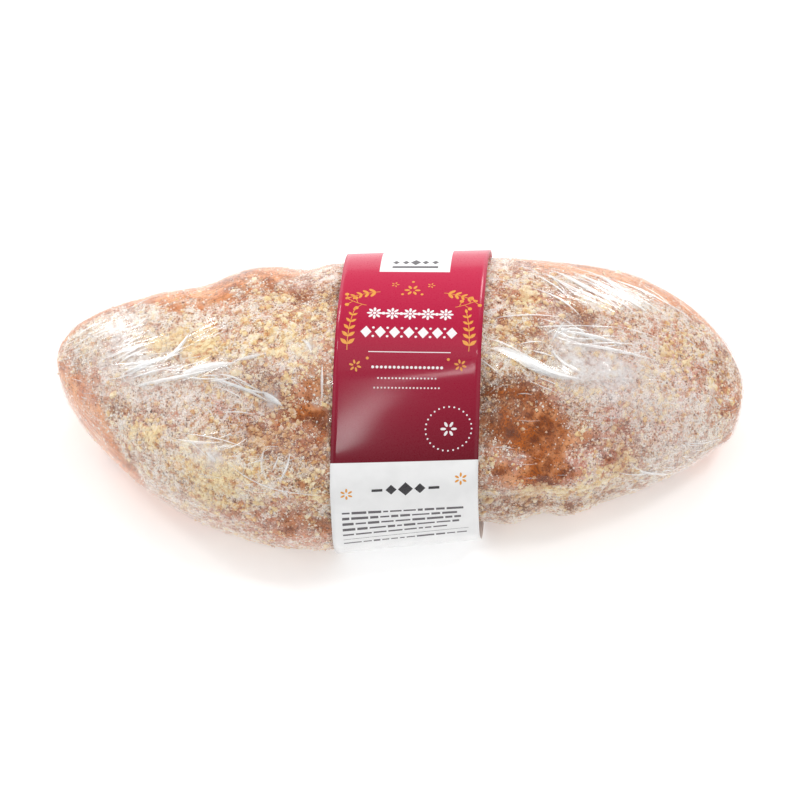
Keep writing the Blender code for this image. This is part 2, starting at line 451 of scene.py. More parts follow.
ROSY_PATCHES = (
    (0.66, 52, 0.16, 17, 0.55), (0.44, 25, 0.12, 8, 0.60), (-0.50, 68, 0.10, 7, 0.45),
    (0.32, 122, 0.10, 12, 0.30), (-0.30, 2, 0.22, 8, 0.30), (0.80, 88, 0.08, 16, 0.30),
    (-0.72, 62, 0.10, 6, 0.25), (0.62, 78, 0.10, 12, 0.45), (0.80, 70, 0.10, 20, 0.30),
    (-0.70, 80, 0.14, 12, 0.20), (-0.35, -12, 0.25, 14, 0.35),
)
NUT_PATCHES = (
    (-0.68, 98, 0.06, 7, 0.70), (-0.58, 92, 0.05, 6, 0.45), (-0.74, 36, 0.04, 8, 0.70),
    (-0.56, 22, 0.06, 10, 0.65), (-0.45, 34, 0.06, 10, 0.45), (-0.38, 122, 0.03, 6, 0.50),
    (-0.32, 100, 0.12, 10, 0.35), (-0.30, 70, 0.10, 8, 0.25), (-0.35, 48, 0.12, 10, 0.30),
    (-0.24, 24, 0.05, 8, 0.40), (0.36, 108, 0.04, 6, 0.55), (0.32, 90, 0.06, 8, 0.25),
    (0.36, 78, 0.05, 5, 0.30), (0.72, 68, 0.06, 8, 0.20), (0.78, 84, 0.05, 9, 0.20),
    (0.40, 10, 0.11, 5, 0.60), (0.60, 16, 0.06, 9, 0.60), (0.44, 62, 0.03, 4, 0.30),
)
# Patches of milky film, in part painted highlights where the film glints white
HAZE_AND_GLINT_PATCHES = (
    (0.76, 12, 0.09, 18, 0.50), (0.62, 122, 0.14, 9, 0.40), (0.50, 88, 0.07, 8, 0.35),
    (-0.80, 112, 0.07, 12, 0.65), (-0.88, 44, 0.04, 30, 0.35), (-0.55, 44, 0.08, 7, 0.30),
    (-0.55, 76, 0.12, 6, 0.20), (0.90, 0, 0.06, 30, 0.30), (-0.60, 10, 0.14, 8, 0.25),
    (-0.74, 84, 0.07, 12, 0.40), (-0.94, 60, 0.04, 45, 0.16), (0.62, 74, 0.11, 10, 0.42),
    (-0.44, 84, 0.09, 5, 0.15), (-0.78, 78, 0.09, 11, 0.45), (-0.82, 104, 0.05, 9, 0.30),
    (0.47, 89, 0.030, 4, 0.95), (-0.365, 71, 0.016, 3, 1.00), (-0.255, 91, 0.014, 3, 0.80),
    (-0.53, 40, 0.030, 4, 0.55), (-0.56, 44, 0.040, 3, 0.35), (0.485, 73, 0.028, 5, 0.80),
    (0.58, 72, 0.07, 8, 0.70), (0.73, 54, 0.08, 9, 0.36), (0.84, -16, 0.06, 7, 0.25),
    (-0.66, -11, 0.08, 8, 0.45), (-0.75, 30, 0.05, 7, 0.15),
)


def where_things_lie(place, degrees, points):
    """Shares of sugar, browning, rosiness and nuts: soft patches added up, then broken up by noise."""
    drift = rough_noise(points, 14 * MM, 11) * 7 + rough_noise(points, 4.5 * MM, 16) * 8
    broken = rough_noise(points, 5 * MM, 12, 4)
    upper = step_up(smooth(place, SUGAR_EDGES, 1) - degrees - drift, -8, 10)
    lower = step_up(degrees - smooth(place, SUGAR_EDGES, 2) + drift, -10, 13)
    sugar = 0.70 + blobs(place, degrees, SUGAR_PATCHES) + 0.34 * broken
    dust = np.clip(0.4 * broken, 0, 0.18) * (1 - upper * lower)
    sugar = np.clip(sugar, 0, 1) * upper * lower + dust
    toast = 0.32 + blobs(place, degrees, TOAST_PATCHES) + 0.30 * rough_noise(points, 11 * MM, 13, 4)
    toast = toast - 0.25 * broken
    rosy = 0.25 + blobs(place, degrees, ROSY_PATCHES) + 0.25 * rough_noise(points, 9 * MM, 14)
    nuts = (0.12 + 0.75 * blobs(place, degrees, NUT_PATCHES)) * (1 + 0.9 * rough_noise(points, 6 * MM, 15))
    return sugar, np.clip(toast, 0, 1), np.clip(rosy, 0, 1), np.clip(nuts, 0, 1) * upper * lower


# ---------------------------------------------------------------- the sugared crust

SKIN_RINGS = 440
SKIN_SEGMENTS = 214
CRUST_DEPTH = 0.45 * MM
SUGAR_DEPTH = 0.45 * MM

# In random patches the colour is multiplied by the dark tone, and in others the light tone is mixed in; the
# swing is how much clumps add to or take from the sugar and the browning
CLUMP_DARK = (226, 188, 172)
CLUMP_LIGHT = (255, 247, 243)
CLUMP_SIZE = 2.3 * MM
CLUMP_SWING = 1.6

# Pairs of tones: the mottling of pale and of brown crust, the gaps between grains from light to dark with
# browning, darkened in part as painted shade between grains, and the dusting from cream to rosy
PALE_CRUST = ((206, 116, 56), (244, 180, 128))
BROWN_CRUST = ((112, 48, 6), (200, 104, 22))
GAP_TONES_AND_SHADE = ((212, 158, 112), (118, 84, 54))
DUSTED = ((254, 242, 228), (250, 226, 219))

# Single tones: the gaps between grains where it is rosy, partly painted shade, and the small pits, dark
# specks of painted shade between grains
ROSY_GAP_AND_SHADE = (222, 160, 146)
PIT_SHADE_BROWN = (112, 60, 30)

# Cells of grains: size, share of the cover, and height
GRAIN_CELLS = ((0.40 * MM, 0.95, 0.4), (0.75 * MM, 0.80, 0.8))

# Share of the grains up to which a tone runs, and the tone
SWEET_TONES = (
    (0.0, (255, 252, 244)), (0.50, (254, 246, 230)), (0.75, (244, 226, 194)), (0.90, (206, 160, 114)),
    (1.0, (132, 84, 50)),
)
BLUSH_TONES = (
    (0.0, (255, 253, 251)), (0.5, (254, 243, 238)), (0.75, (242, 218, 208)), (0.92, (196, 150, 132)),
    (1.0, (132, 90, 72)),
)
NUTTY_TONES = (
    (0.0, (255, 248, 222)), (0.5, (250, 234, 190)), (0.75, (232, 204, 148)), (0.92, (194, 146, 88)),
    (1.0, (128, 82, 42)),
)


def between(tree, share, pair):
    """The two tones of a pair mixed by a share."""
    return mix(tree, share, paint(*pair[0]), paint(*pair[1]))


def clumped(tree, place, colour, nuts):
    """The colour with random patches that are deeper in tone and others that are whiter, but not on nuts."""
    patch_noise = mottle(tree, place, CLUMP_SIZE, 4, 0.7)
    deep = mix(tree, 1.0, colour, paint(*CLUMP_DARK), "MULTIPLY")
    colour = mix(tree, spread(tree, patch_noise, 0.51, 0.64), colour, deep)
    bare = minus(tree, 1.0, nuts, clamp=True)
    whitening = times(tree, spread(tree, patch_noise, 0.50, 0.36, 0.0, 0.7), bare)
    return mix(tree, whitening, colour, paint(*CLUMP_LIGHT))


def crust_material():
    """Baked crust: orange to brown, with two sizes of grains in cells that lie denser where sugar does.

    Each cell has its own tone, from cream to brown, and fades towards its rim into the gap between grains,
    whose darker colour is in part painted shade.
    """
    material, tree, shader = new_material("sugared_crust")
    place = object_place(tree)
    sugar, toast, rosy, nuts = (reading(tree, name) for name in ("sugar", "toast", "rosy", "nuts"))
    broad = spread(tree, mottle(tree, place, 5 * MM, 5, 0.65), 0.3, 0.7)
    fine = mottle(tree, place, 0.9 * MM, 3, 0.6)
    clumps = minus(tree, mottle(tree, place, 2.6 * MM, 3, 0.6), 0.5)
    heaped = plus(tree, sugar, times(tree, clumps, CLUMP_SWING))
    shade = plus(tree, toast, times(tree, clumps, CLUMP_SWING))
    baked = between(tree, broad, PALE_CRUST)
    baked = mix(tree, spread(tree, shade, 0.15, 1.0), baked, between(tree, broad, BROWN_CRUST))
    # Gap colour between grains: the crust's own tone, darker with browning, and darker still as painted shade
    # between grains
    gaps = between(tree, spread(tree, shade, 0.1, 0.9), GAP_TONES_AND_SHADE)
    gaps = mix(tree, rosy, gaps, paint(*ROSY_GAP_AND_SHADE))
    colour = mix(tree, spread(tree, sugar, 0.04, 0.42, 0.0, 0.85), baked, gaps)
    colour = mix(tree, spread(tree, heaped, 0.34, 1.0, 0.0, 0.9), colour, between(tree, rosy, DUSTED))
    cover = times(tree, heaped, times(tree, sugar, 1.25))
    cover = times(tree, cover, spread(tree, rosy, 0.4, 1.0, 1.0, 0.85))
    height = times(tree, fine, 0.4)
    for size, share, rise in GRAIN_CELLS:
        away, chance, hue = crumbs(tree, place, size)
        grain = spread(tree, minus(tree, times(tree, cover, share), chance), -0.02, 0.02)
        # Each grain fades at its rim into the darker gap colour, a painted shade round the grain
        grain = times(tree, grain, spread(tree, away, 0.62, 0.42))
        tone = mix(tree, rosy, tones(tree, hue, *SWEET_TONES), tones(tree, hue, *BLUSH_TONES))
        tone = mix(tree, times(tree, nuts, 0.9, clamp=True), tone, tones(tree, hue, *NUTTY_TONES))
        colour = mix(tree, times(tree, grain, 0.92), colour, tone)
        dome = times(tree, spread(tree, away, 0.7, 0.1), grain)
        height = plus(tree, height, times(tree, dome, rise))
    # Dark specks of painted shade, as in small hollows between grains, more of them where the crust is
    # browner
    pitted = mottle(tree, place, 0.62 * MM, 2, 0.55)
    pit_shade = plus(tree, pitted, times(tree, minus(tree, shade, 0.5), 0.10))
    pit_shade = spread(tree, pit_shade, 0.56, 0.64, 0.0, 0.8)
    colour = mix(tree, pit_shade, colour, paint(*PIT_SHADE_BROWN))
    colour = mix(tree, spread(tree, sugar, 0.2, 0.6), colour, clumped(tree, place, colour, nuts))
    plug(tree, colour, shader.inputs["Base Color"])
    shader.inputs["Specular IOR Level"].default_value = 0.15
    plug(tree, spread(tree, fine, 0.3, 0.7, 0.5, 0.75), shader.inputs["Roughness"])
    plug(tree, bump(tree, height, 0.35 * MM, 0.8), shader.inputs["Normal"])
    return material


def crust_height(skin, sugar):
    """Depth of the crust under the film: deeper where sugar lies on it, and lumpy at three sizes."""
    lumps = 0.45 * rough_noise(skin.points, 9 * MM, 21) + 0.26 * rough_noise(skin.points, 3.2 * MM, 22, 4)
    depth = CRUST_DEPTH / MM + SUGAR_DEPTH / MM * sugar - lumps * (0.35 + 0.65 * sugar)
    return -np.clip(depth, 0.2, 2.0) * MM


skin = LoafSkin(SKIN_RINGS, SKIN_SEGMENTS)
sugar, toast, rosy, nuts = where_things_lie(skin.place, skin.degrees, skin.points)
crust_rise = crust_height(skin, sugar)
crust_surface = skin.raised(crust_rise)
crust_values = {"sugar": sugar, "toast": toast, "rosy": rosy, "nuts": nuts}
crust_values = {name: skin.padded(values) for name, values in crust_values.items()}
crust = add_piece("baked_crust", crust_surface, skin.faces(), crust_material(), crust_values)
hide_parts("wrapped_loaf")


# ---------------------------------------------------------------- sugar, crumbs and nuts

OCTAHEDRON = (
    ((1, 0, 0), (-1, 0, 0), (0, 1, 0), (0, -1, 0), (0, 0, 1), (0, 0, -1)),
    ((0, 2, 4), (2, 1, 4), (1, 3, 4), (3, 0, 4), (2, 0, 5), (1, 2, 5), (3, 1, 5), (0, 3, 5)),
)
GOLDEN = (1 + math.sqrt(5)) / 2
GRAIN_TILT = 0.35
NUT_CREAM = (246, 226, 178)
TOASTED_TAN = (204, 146, 94)


def icosahedron():
    """Corners and faces of an icosahedron of radius 1."""
    corners = []
    for first in (-1, 1):
        for second in (-GOLDEN, GOLDEN):
            corners += [(first, second, 0), (0, first, second), (second, 0, first)]
    corners = np.array(corners) / math.hypot(1, GOLDEN)
    gaps = np.linalg.norm(corners[:, None] - corners[None], axis=-1)
    edge = gaps[gaps > 0.1].min() * 1.01
    faces = []
    for one, two, three in combinations(range(12), 3):
        if max(gaps[one, two], gaps[two, three], gaps[one, three]) < edge:
            normal = np.cross(corners[two] - corners[one], corners[three] - corners[one])
            outward = np.dot(normal, corners[one]) > 0
            faces.append((one, two, three) if outward else (one, three, two))
    return corners, faces


crust_grid = crust_surface[:-2].reshape(SKIN_RINGS, SKIN_SEGMENTS, 3)
room = -crust_rise


def scatter(name, shape, count, sizes, density, depth, flat, rough, seed, material):
    """Small solids on the crust: places drawn by area times density, each one stretched, jagged and turned.

    sizes are the smallest and largest radius, depth how far the middle lies under the crust as a share of
    the radius, flat the thickness as a share of the radius, and rough the jaggedness of the corners.
    """
    rng = np.random.default_rng(seed)
    right = np.roll(crust_grid, -1, axis=1)[:-1] - crust_grid[:-1]
    area = np.linalg.norm(np.cross(right, crust_grid[1:] - crust_grid[:-1]), axis=-1)
    weight = (area * density[:-1]).ravel()
    cell = rng.choice(weight.size, size=count, p=weight / weight.sum())
    row, column = np.divmod(cell, SKIN_SEGMENTS)
    following = (column + 1) % SKIN_SEGMENTS
    u, v = rng.random((2, count, 1))
    middle = (1 - u) * ((1 - v) * crust_grid[row, column] + v * crust_grid[row, following])
    middle = middle + u * ((1 - v) * crust_grid[row + 1, column] + v * crust_grid[row + 1, following])
    upward = skin.normals[row, column]
    tilted = unit(upward + GRAIN_TILT * rng.normal(size=(count, 3)))
    sideways = unit(np.cross(tilted, rng.normal(size=(count, 3))))
    across = np.cross(tilted, sideways)
    radius = sizes[0] + (sizes[1] - sizes[0]) * rng.random(count) ** 2
    corners, faces = (np.array(part, float) for part in shape)
    solid = corners[None] * (1 + rough * rng.uniform(-1, 1, (count, len(corners), 1)))
    solid = solid * (radius[:, None] * rng.uniform(0.7, 1.15, (count, 3)) * np.array([1, 1, flat]))[:, None]
    axes = np.stack([sideways, across, tilted], axis=1)
    sunk = np.maximum(radius * depth, radius * (flat + 0.1) - room[row, column])
    middle = middle - upward * sunk[:, None]
    points = middle[:, None] + np.einsum("nkc,nca->nka", solid, axes)
    links = faces[None].astype(int) + np.arange(count)[:, None, None] * len(corners)
    values = {"tint": rng.random(count)}
    for field_name, field in (("rosy", rosy), ("toast", toast), ("nuts", nuts)):
        values[field_name] = field[row, column]
    values = {key: np.repeat(value, len(corners)) for key, value in values.items()}
    return add_piece(name, points, links.reshape(-1, 3), material, values, shade_smooth=False)


def grain_material(name, colours, warm, roughness):
    """Grains with a tone each, drawn from a run of colours, warmer where it is rosy and spotted all over."""
    material, tree, shader = new_material(name)
    place = object_place(tree)
    spots = mottle(tree, place, 0.5 * MM, 2, 0.6)
    colour = tones(tree, reading(tree, "tint"), *colours)
    colour = mix(tree, times(tree, reading(tree, "rosy"), 0.6), colour, warm)
    yellow = times(tree, reading(tree, "nuts"), 0.8, clamp=True)
    colour = mix(tree, yellow, colour, paint(*NUT_CREAM))
    browned = spread(tree, reading(tree, "toast"), 0.5, 0.95, 0.0, 0.8)
    colour = mix(tree, browned, colour, paint(*TOASTED_TAN))
    colour = mix(tree, spread(tree, spots, 0.52, 0.85, 0.0, 0.6), colour, paint(*colours[-1][1]))
    colour = clumped(tree, place, colour, reading(tree, "nuts"))
    plug(tree, colour, shader.inputs["Base Color"])
    shader.inputs["Specular IOR Level"].default_value = 0.25
    plug(tree, spread(tree, spots, 0.3, 0.7, roughness - 0.12, roughness + 0.12), shader.inputs["Roughness"])
    plug(tree, bump(tree, spots, 0.12 * MM, 0.6), shader.inputs["Normal"])
    return material


ICOSAHEDRON = icosahedron()

# Material of each kind of grain: its tone where the crust is rosy, its roughness, and its run of tones
FINISHES = {
    "sugar_crystals": (
        (252, 232, 224), 0.42,
        ((0.0, (255, 253, 246)), (0.6, (255, 249, 238)), (0.85, (250, 236, 212)), (1.0, (234, 206, 168))),
    ),
    "cake_crumbs": (
        (232, 176, 146), 0.62,
        ((0.0, (252, 240, 220)), (0.35, (238, 212, 178)), (0.7, (204, 158, 114)), (1.0, (136, 88, 54))),
    ),
    "chopped_nuts": (
        (248, 214, 166), 0.5,
        (
            (0.0, (255, 247, 222)), (0.35, (252, 236, 198)), (0.7, (246, 216, 152)),
            (0.92, (228, 174, 104)), (1.0, (166, 104, 56)),
        ),
    ),
    "nut_skins": ((156, 92, 74), 0.6, ((0.0, (158, 98, 56)), (0.5, (114, 68, 38)), (1.0, (78, 46, 28)))),
    "dark_fruit": ((92, 60, 58), 0.45, ((0.0, (116, 66, 48)), (1.0, (72, 44, 38)))),
}
finishes = {
    name: grain_material(name, colours, paint(*warm), roughness)
    for name, (warm, roughness, colours) in FINISHES.items()
}

patchy = 0.5 + 0.6 * rough_noise(skin.points, 4 * MM, 31, 3)
bare_patchy = np.clip(1.2 - patchy, 0.05, 2)
sugar_weight = np.clip(sugar * patchy, 0, 1) ** 1.6 * (1.15 - 0.35 * rosy) + 0.025
crumb_weight = np.clip(0.10 + sugar * (0.3 + toast), 0.02, 2) * bare_patchy * step_up(sugar, 0.02, 0.3)
nut_weight = np.clip(nuts - 0.10, 0, 1) ** 1.5 + 0.03 * sugar
skin_weight = np.clip(sugar * (0.25 + toast), 0, 2) * bare_patchy**2 + 0.01

# Piece, material, shape, how many, smallest and largest radius in millimetres, density, depth, flatness,
# jaggedness and seed
GRAINS = (
    ("sugar_grains", "sugar_crystals", OCTAHEDRON, 24000, (0.22, 0.60), sugar_weight, 0.1, 0.8, 0.35, 41),
    ("cake_crumbs", "cake_crumbs", OCTAHEDRON, 20000, (0.25, 0.70), crumb_weight, 0.2, 0.7, 0.35, 42),
    ("nut_skins", "nut_skins", OCTAHEDRON, 7000, (0.20, 0.55), skin_weight, 0.2, 0.35, 0.35, 43),
    ("ground_nuts", "chopped_nuts", ICOSAHEDRON, 5500, (0.28, 1.15), nut_weight, 0.15, 0.75, 0.36, 44),
    ("nut_pieces", "chopped_nuts", ICOSAHEDRON, 340, (0.9, 2.0), nut_weight**1.4, 0.15, 0.65, 0.30, 45),
    ("dark_fruit", "dark_fruit", ICOSAHEDRON, 60, (0.5, 1.1), skin_weight, 0.4, 0.6, 0.2, 46),
)
for name, finish, shape, count, sizes, density, depth, flat, rough, seed in GRAINS:
    radii = [size * MM for size in sizes]
    scatter(name, shape, count, radii, density, depth, flat, rough, seed, finishes[finish])


# ---------------------------------------------------------------- the clear film

DEGREE_LENGTH = 0.64 * MM

# Gloss of the film at its rim, the power of the angle by which it grows, and the share of light that the
# milky film lets through
RIM_GLOSS = 0.9
GLOSS_POWER = 5.0
THROUGH_SHARE = 0.06

# Least share of milk in hazy film, roughness, and gloss seen straight on
CLEAR_FINISH = (0.25, 0.09, 0.037)
FOLD_FINISH = (0.65, 0.36, 0.16)

# Folds of the film: points as place and angle, half width and height in millimetres, and whiteness, which is
# milky film and in part painted highlight
FOLDS = (
    (((-0.84, 80), (-0.78, 89), (-0.72, 95)), 0.45, 0.30, 0.75),
    (((-0.80, 71), (-0.72, 82), (-0.62, 90)), 0.60, 0.35, 0.85),
    (((-0.78, 69), (-0.70, 78), (-0.61, 84)), 0.35, 0.25, 0.70),
    (((-0.68, 83), (-0.63, 93), (-0.60, 102)), 0.60, 0.40, 0.85),
    (((-0.76, 66), (-0.66, 75), (-0.51, 83)), 0.70, 0.30, 0.70),
    (((-0.62, 79), (-0.55, 83), (-0.47, 85)), 1.30, 0.35, 0.75),
    (((-0.47, 86), (-0.38, 89)), 0.50, 0.25, 0.60),
    (((-0.28, 94), (-0.26, 92), (-0.25, 88)), 0.50, 0.30, 0.60),
    (((-0.54, 78), (-0.45, 75), (-0.36, 69)), 0.45, 0.30, 0.80),
    (((-0.48, 76), (-0.42, 74), (-0.37, 73)), 0.35, 0.24, 0.80),
    (((-0.52, 80), (-0.47, 79), (-0.41, 75)), 0.30, 0.20, 0.70),
    (((-0.39, 74), (-0.36, 71), (-0.33, 68)), 0.80, 0.45, 1.00),
    (((-0.22, 84), (-0.22, 70)), 0.40, 0.28, 0.80),
    (((-0.31, 48), (-0.32, 42), (-0.34, 36)), 0.40, 0.35, 0.85),
    (((-0.34, 47), (-0.36, 40)), 0.30, 0.25, 0.70),
    (((-0.38, 50), (-0.39, 43), (-0.38, 37)), 0.35, 0.25, 0.50),
    (((-0.62, 49), (-0.52, 51), (-0.42, 48)), 0.25, 0.25, 0.75),
    (((-0.62, 49), (-0.57, 44), (-0.53, 39)), 0.25, 0.22, 0.55),
    (((-0.64, 45), (-0.57, 47), (-0.50, 50)), 0.45, 0.20, 0.50),
    (((-0.55, 44), (-0.53, 41), (-0.52, 40)), 0.90, 0.30, 0.65),
    (((-0.52, 45), (-0.42, 35), (-0.32, 31), (-0.20, 29)), 0.22, 0.22, 0.80),
    (((0.44, 132), (0.53, 121), (0.64, 107)), 0.80, 0.35, 0.80),
    (((0.49, 134), (0.60, 122), (0.72, 109)), 0.90, 0.40, 0.85),
    (((0.41, 129), (0.48, 120), (0.57, 112)), 0.50, 0.28, 0.70),
    (((0.56, 133), (0.68, 120), (0.78, 112)), 0.45, 0.28, 0.70),
    (((0.62, 131), (0.72, 127), (0.84, 121)), 0.60, 0.30, 0.75),
    (((0.43, 86), (0.45, 92), (0.47, 97)), 0.50, 0.35, 0.80),
    (((0.44, 88), (0.48, 93), (0.54, 92)), 0.45, 0.30, 0.80),
    (((0.47, 92), (0.55, 90), (0.64, 87)), 0.70, 0.30, 0.75),
    (((0.46, 86), (0.60, 84), (0.75, 80)), 0.55, 0.30, 0.75),
    (((0.26, 98), (0.36, 100), (0.46, 99)), 0.30, 0.22, 0.65),
    (((0.25, 84), (0.33, 80), (0.41, 73), (0.52, 69)), 1.60, 0.45, 0.90),
    (((0.43, 84), (0.46, 77), (0.54, 70)), 0.45, 0.30, 0.70),
    (((0.66, 21), (0.72, 4), (0.80, -14)), 0.60, 0.40, 0.75),
    (((0.62, 18), (0.69, 8), (0.76, 2)), 0.45, 0.30, 0.65),
    (((0.86, -4), (0.92, -12), (0.98, -18)), 0.40, 0.28, 0.80),
    (((0.80, 26), (0.88, 10), (0.93, -6)), 0.35, 0.25, 0.65),
    (((0.46, 99), (0.52, 92), (0.57, 86)), 0.30, 0.22, 0.60),
    (((-0.30, 160), (-0.05, 176), (0.30, 181)), 0.30, 0.25, 0.60),
    (((-0.86, 150), (-0.60, 172), (-0.30, 178)), 0.30, 0.25, 0.60),
    (((0.34, 172), (0.60, 165), (0.88, 146)), 0.30, 0.25, 0.60),
)

# Fields of fine wrinkles: place, angle, reach along, reach in degrees, their direction in degrees, how many,
# and their length, half width and whiteness, which is milky film and in part painted highlight
WRINKLES = (
    (-0.75, 84, 0.07, 9, 37, 22, 15, 0.20, 0.60), (-0.80, 106, 0.05, 9, 48, 14, 9, 0.35, 0.65),
    (-0.93, 90, 0.03, 16, 52, 16, 8, 0.18, 0.55), (-0.56, 81, 0.08, 3, 14, 10, 14, 0.22, 0.60),
    (-0.45, 75, 0.05, 4, -16, 10, 9, 0.18, 0.65), (-0.52, 44, 0.07, 6, 20, 9, 8, 0.16, 0.45),
    (0.58, 121, 0.08, 7, -40, 24, 17, 0.24, 0.65), (0.74, 122, 0.06, 8, -26, 10, 11, 0.20, 0.55),
    (0.53, 90, 0.06, 5, 4, 12, 14, 0.20, 0.60), (0.38, 77, 0.06, 5, -24, 9, 9, 0.20, 0.60),
    (0.76, -2, 0.07, 12, -56, 16, 10, 0.22, 0.50), (0.90, 20, 0.04, 30, -62, 14, 8, 0.18, 0.45),
    (-0.88, 20, 0.04, 26, 60, 12, 8, 0.18, 0.40), (-0.55, 165, 0.22, 12, 12, 30, 14, 0.22, 0.50),
    (0.55, 165, 0.22, 12, -12, 30, 14, 0.22, 0.50), (-0.96, 150, 0.02, 40, 40, 14, 6, 0.18, 0.50),
    (0.96, 120, 0.02, 50, -50, 16, 6, 0.18, 0.50), (-0.50, 60, 0.28, 50, 12, 50, 8, 0.14, 0.30),
    (0.55, 60, 0.25, 50, -12, 50, 8, 0.14, 0.30),
)


def film_material(name, least_milk, roughness, mirror):
    """Clear film: see-through, milky by share, with gloss that grows towards its rim and creases in its bump.
    High shares of milk also stand in for glints, as painted highlights.

    The gloss of both faces is worked out by the fifth power of the angle, which is the same from inside
    and outside, so that light gets in as easily as it gets out.
    """
    material, tree, shader = new_material(name)
    place = object_place(tree)
    pulled = add_node(tree, "CombineXYZ", {0: reading(tree, "across"), 1: reading(tree, "along"), 2: 0.0})
    crease = mottle(tree, pulled.outputs[0], 1.0, 1.0)
    soft = mottle(tree, place, 9 * MM, 1)
    height = times(tree, crease, reading(tree, "creased"))
    height = plus(tree, height, times(tree, soft, 0.8))
    normal = bump(tree, height, 0.45 * MM, 1.0)
    shine = {"Color": (1, 1, 1, 1), "Roughness": roughness, "Normal": normal}
    gloss = add_node(tree, "BsdfAnisotropic", shine)
    facing = add_node(tree, "LayerWeight", {"Blend": 0.5, "Normal": normal}).outputs["Facing"]
    rim = plus(tree, times(tree, calc(tree, "POWER", facing, GLOSS_POWER), RIM_GLOSS), mirror)
    clear = add_node(tree, "BsdfTransparent", {"Color": (1, 1, 1, 1)})
    shader.inputs["Base Color"].default_value = (0.98, 0.98, 0.98, 1)
    shader.inputs["Roughness"].default_value = 0.3
    through = add_node(tree, "BsdfTranslucent", {"Color": (1, 1, 1, 1)})
    milk = add_node(tree, "MixShader", {0: THROUGH_SHARE, 1: shader.outputs[0], 2: through.outputs[0]})
    milky = mottle(tree, place, 2.2 * MM, 4, 0.7)
    share = times(tree, reading(tree, "haze_and_glint"), spread(tree, milky, 0.3, 0.7, least_milk, 1.0))
    body = add_node(tree, "MixShader", {0: share, 1: clear.outputs[0], 2: milk.outputs[0]})
    whole = add_node(tree, "MixShader", {0: rim, 1: body.outputs[0], 2: gloss.outputs[0]})
    tree.links.new(whole.outputs[0], tree.nodes["Material Output"].inputs["Surface"])
    return material


def film_pull(place, degrees, points):
    """Where a point lies across and along the creases, which run outwards and a little down from the top."""
    across = degrees * DEGREE_LENGTH + 0.5 * np.abs(place) * HALF_LENGTH
    return across + 1.5 * MM * rough_noise(points, 22 * MM, 51, 2), place * HALF_LENGTH


def film_creases(across, along):
    """Soft creases at two widths: noise that is drawn out along the pull."""
    height = np.zeros(across.shape)
    for width, length, high, seed in ((4.2, 34, 0.10, 56), (2.1, 26, 0.05, 57)):
        stretched = np.stack([across / (width * MM), along / (length * MM), np.zeros(across.shape)], axis=-1)
        height += high * noise(stretched, 1.0, seed)
    return height * MM


def film_values_at(place, degrees, points):
    """Height of the film over the plain loaf, and the values that its material reads."""
    across, along = film_pull(place, degrees, points)
    near_glare = blobs(place, degrees, HAZE_AND_GLINT_PATCHES)
    by_band = step_up(np.abs(place * HALF_LENGTH - BAND_PLACE), 21 * MM, 36 * MM)
    creased = np.clip(0.45 + 0.8 * near_glare + 0.4 * rough_noise(points, 12 * MM, 53), 0.15, 1.3)
    creased = creased * (0.3 + 0.7 * by_band)
    slack = 0.12 * rough_noise(points, 16 * MM, 54, 2) * MM
    values = {
        # Milky haze, raised in the patches above, which are in part painted highlights
        "haze_and_glint": np.clip(0.01 + 0.7 * near_glare + 0.03 * rough_noise(points, 8 * MM, 52), 0.0, 0.9),
        "across": across / (1.5 * MM),
        "along": along / (26 * MM),
        "creased": creased,
    }
    return slack + creased * film_creases(across, along), values


film_height, film_values = film_values_at(skin.place, skin.degrees, skin.points)
film_values = {name: skin.padded(values) for name, values in film_values.items()}
film_surface = skin.raised(film_height)
film_finish = film_material("clear_film", *CLEAR_FINISH)
film = add_piece("clear_film", film_surface, skin.faces(), film_finish, film_values)
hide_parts("wrapped_loaf")


# ---------------------------------------------------------------- folds of the film

FOLD_STEPS = 18
FOLD_RISE = 0.3
FOLD_CREASED = 0.15
WRINKLE_SPREAD = 9
WRINKLE_BEND = 0.12

# Places along the half length that a spot, a wrinkle's middle and a wrinkle's ends don't pass
PLACE_LIMIT = 0.997
MIDDLE_LIMIT = 0.97
END_LIMIT = 0.99

# Section of a fold: across, height and whiteness, from one foot over the ridge and back underneath; whitest
# on the ridge, as milky film and painted highlight
FOLD_SECTION = np.array([
    (-1.0, -0.1, 0.05),
    (-0.5, 0.4, 0.60),
    (0.1, 1.0, 1.00),
    (0.6, 0.6, 0.90),
    (1.0, -0.1, 0.20),
    (0.4, -0.3, 0.10),
    (-0.4, -0.3, 0.10),
])


def loaf_spot(place, degrees):
    """Point of the plain loaf at a place and an angle."""
    place = np.clip(place, -PLACE_LIMIT, PLACE_LIMIT)
    return loaf_points(place, np.sqrt(1 - place**2), np.radians(degrees)) + SHIFT


def on_film(place, degrees, lift):
    """Points at a height above the film, and the values of the film there."""
    middle = loaf_spot(place, degrees)
    along = loaf_spot(place + 0.004, degrees) - loaf_spot(place - 0.004, degrees)
    around = loaf_spot(place, degrees + 0.5) - loaf_spot(place, degrees - 0.5)
    normal = unit(np.cross(along, around))
    height, values = film_values_at(place, degrees, middle)
    return middle + normal * (height + lift)[..., None], values


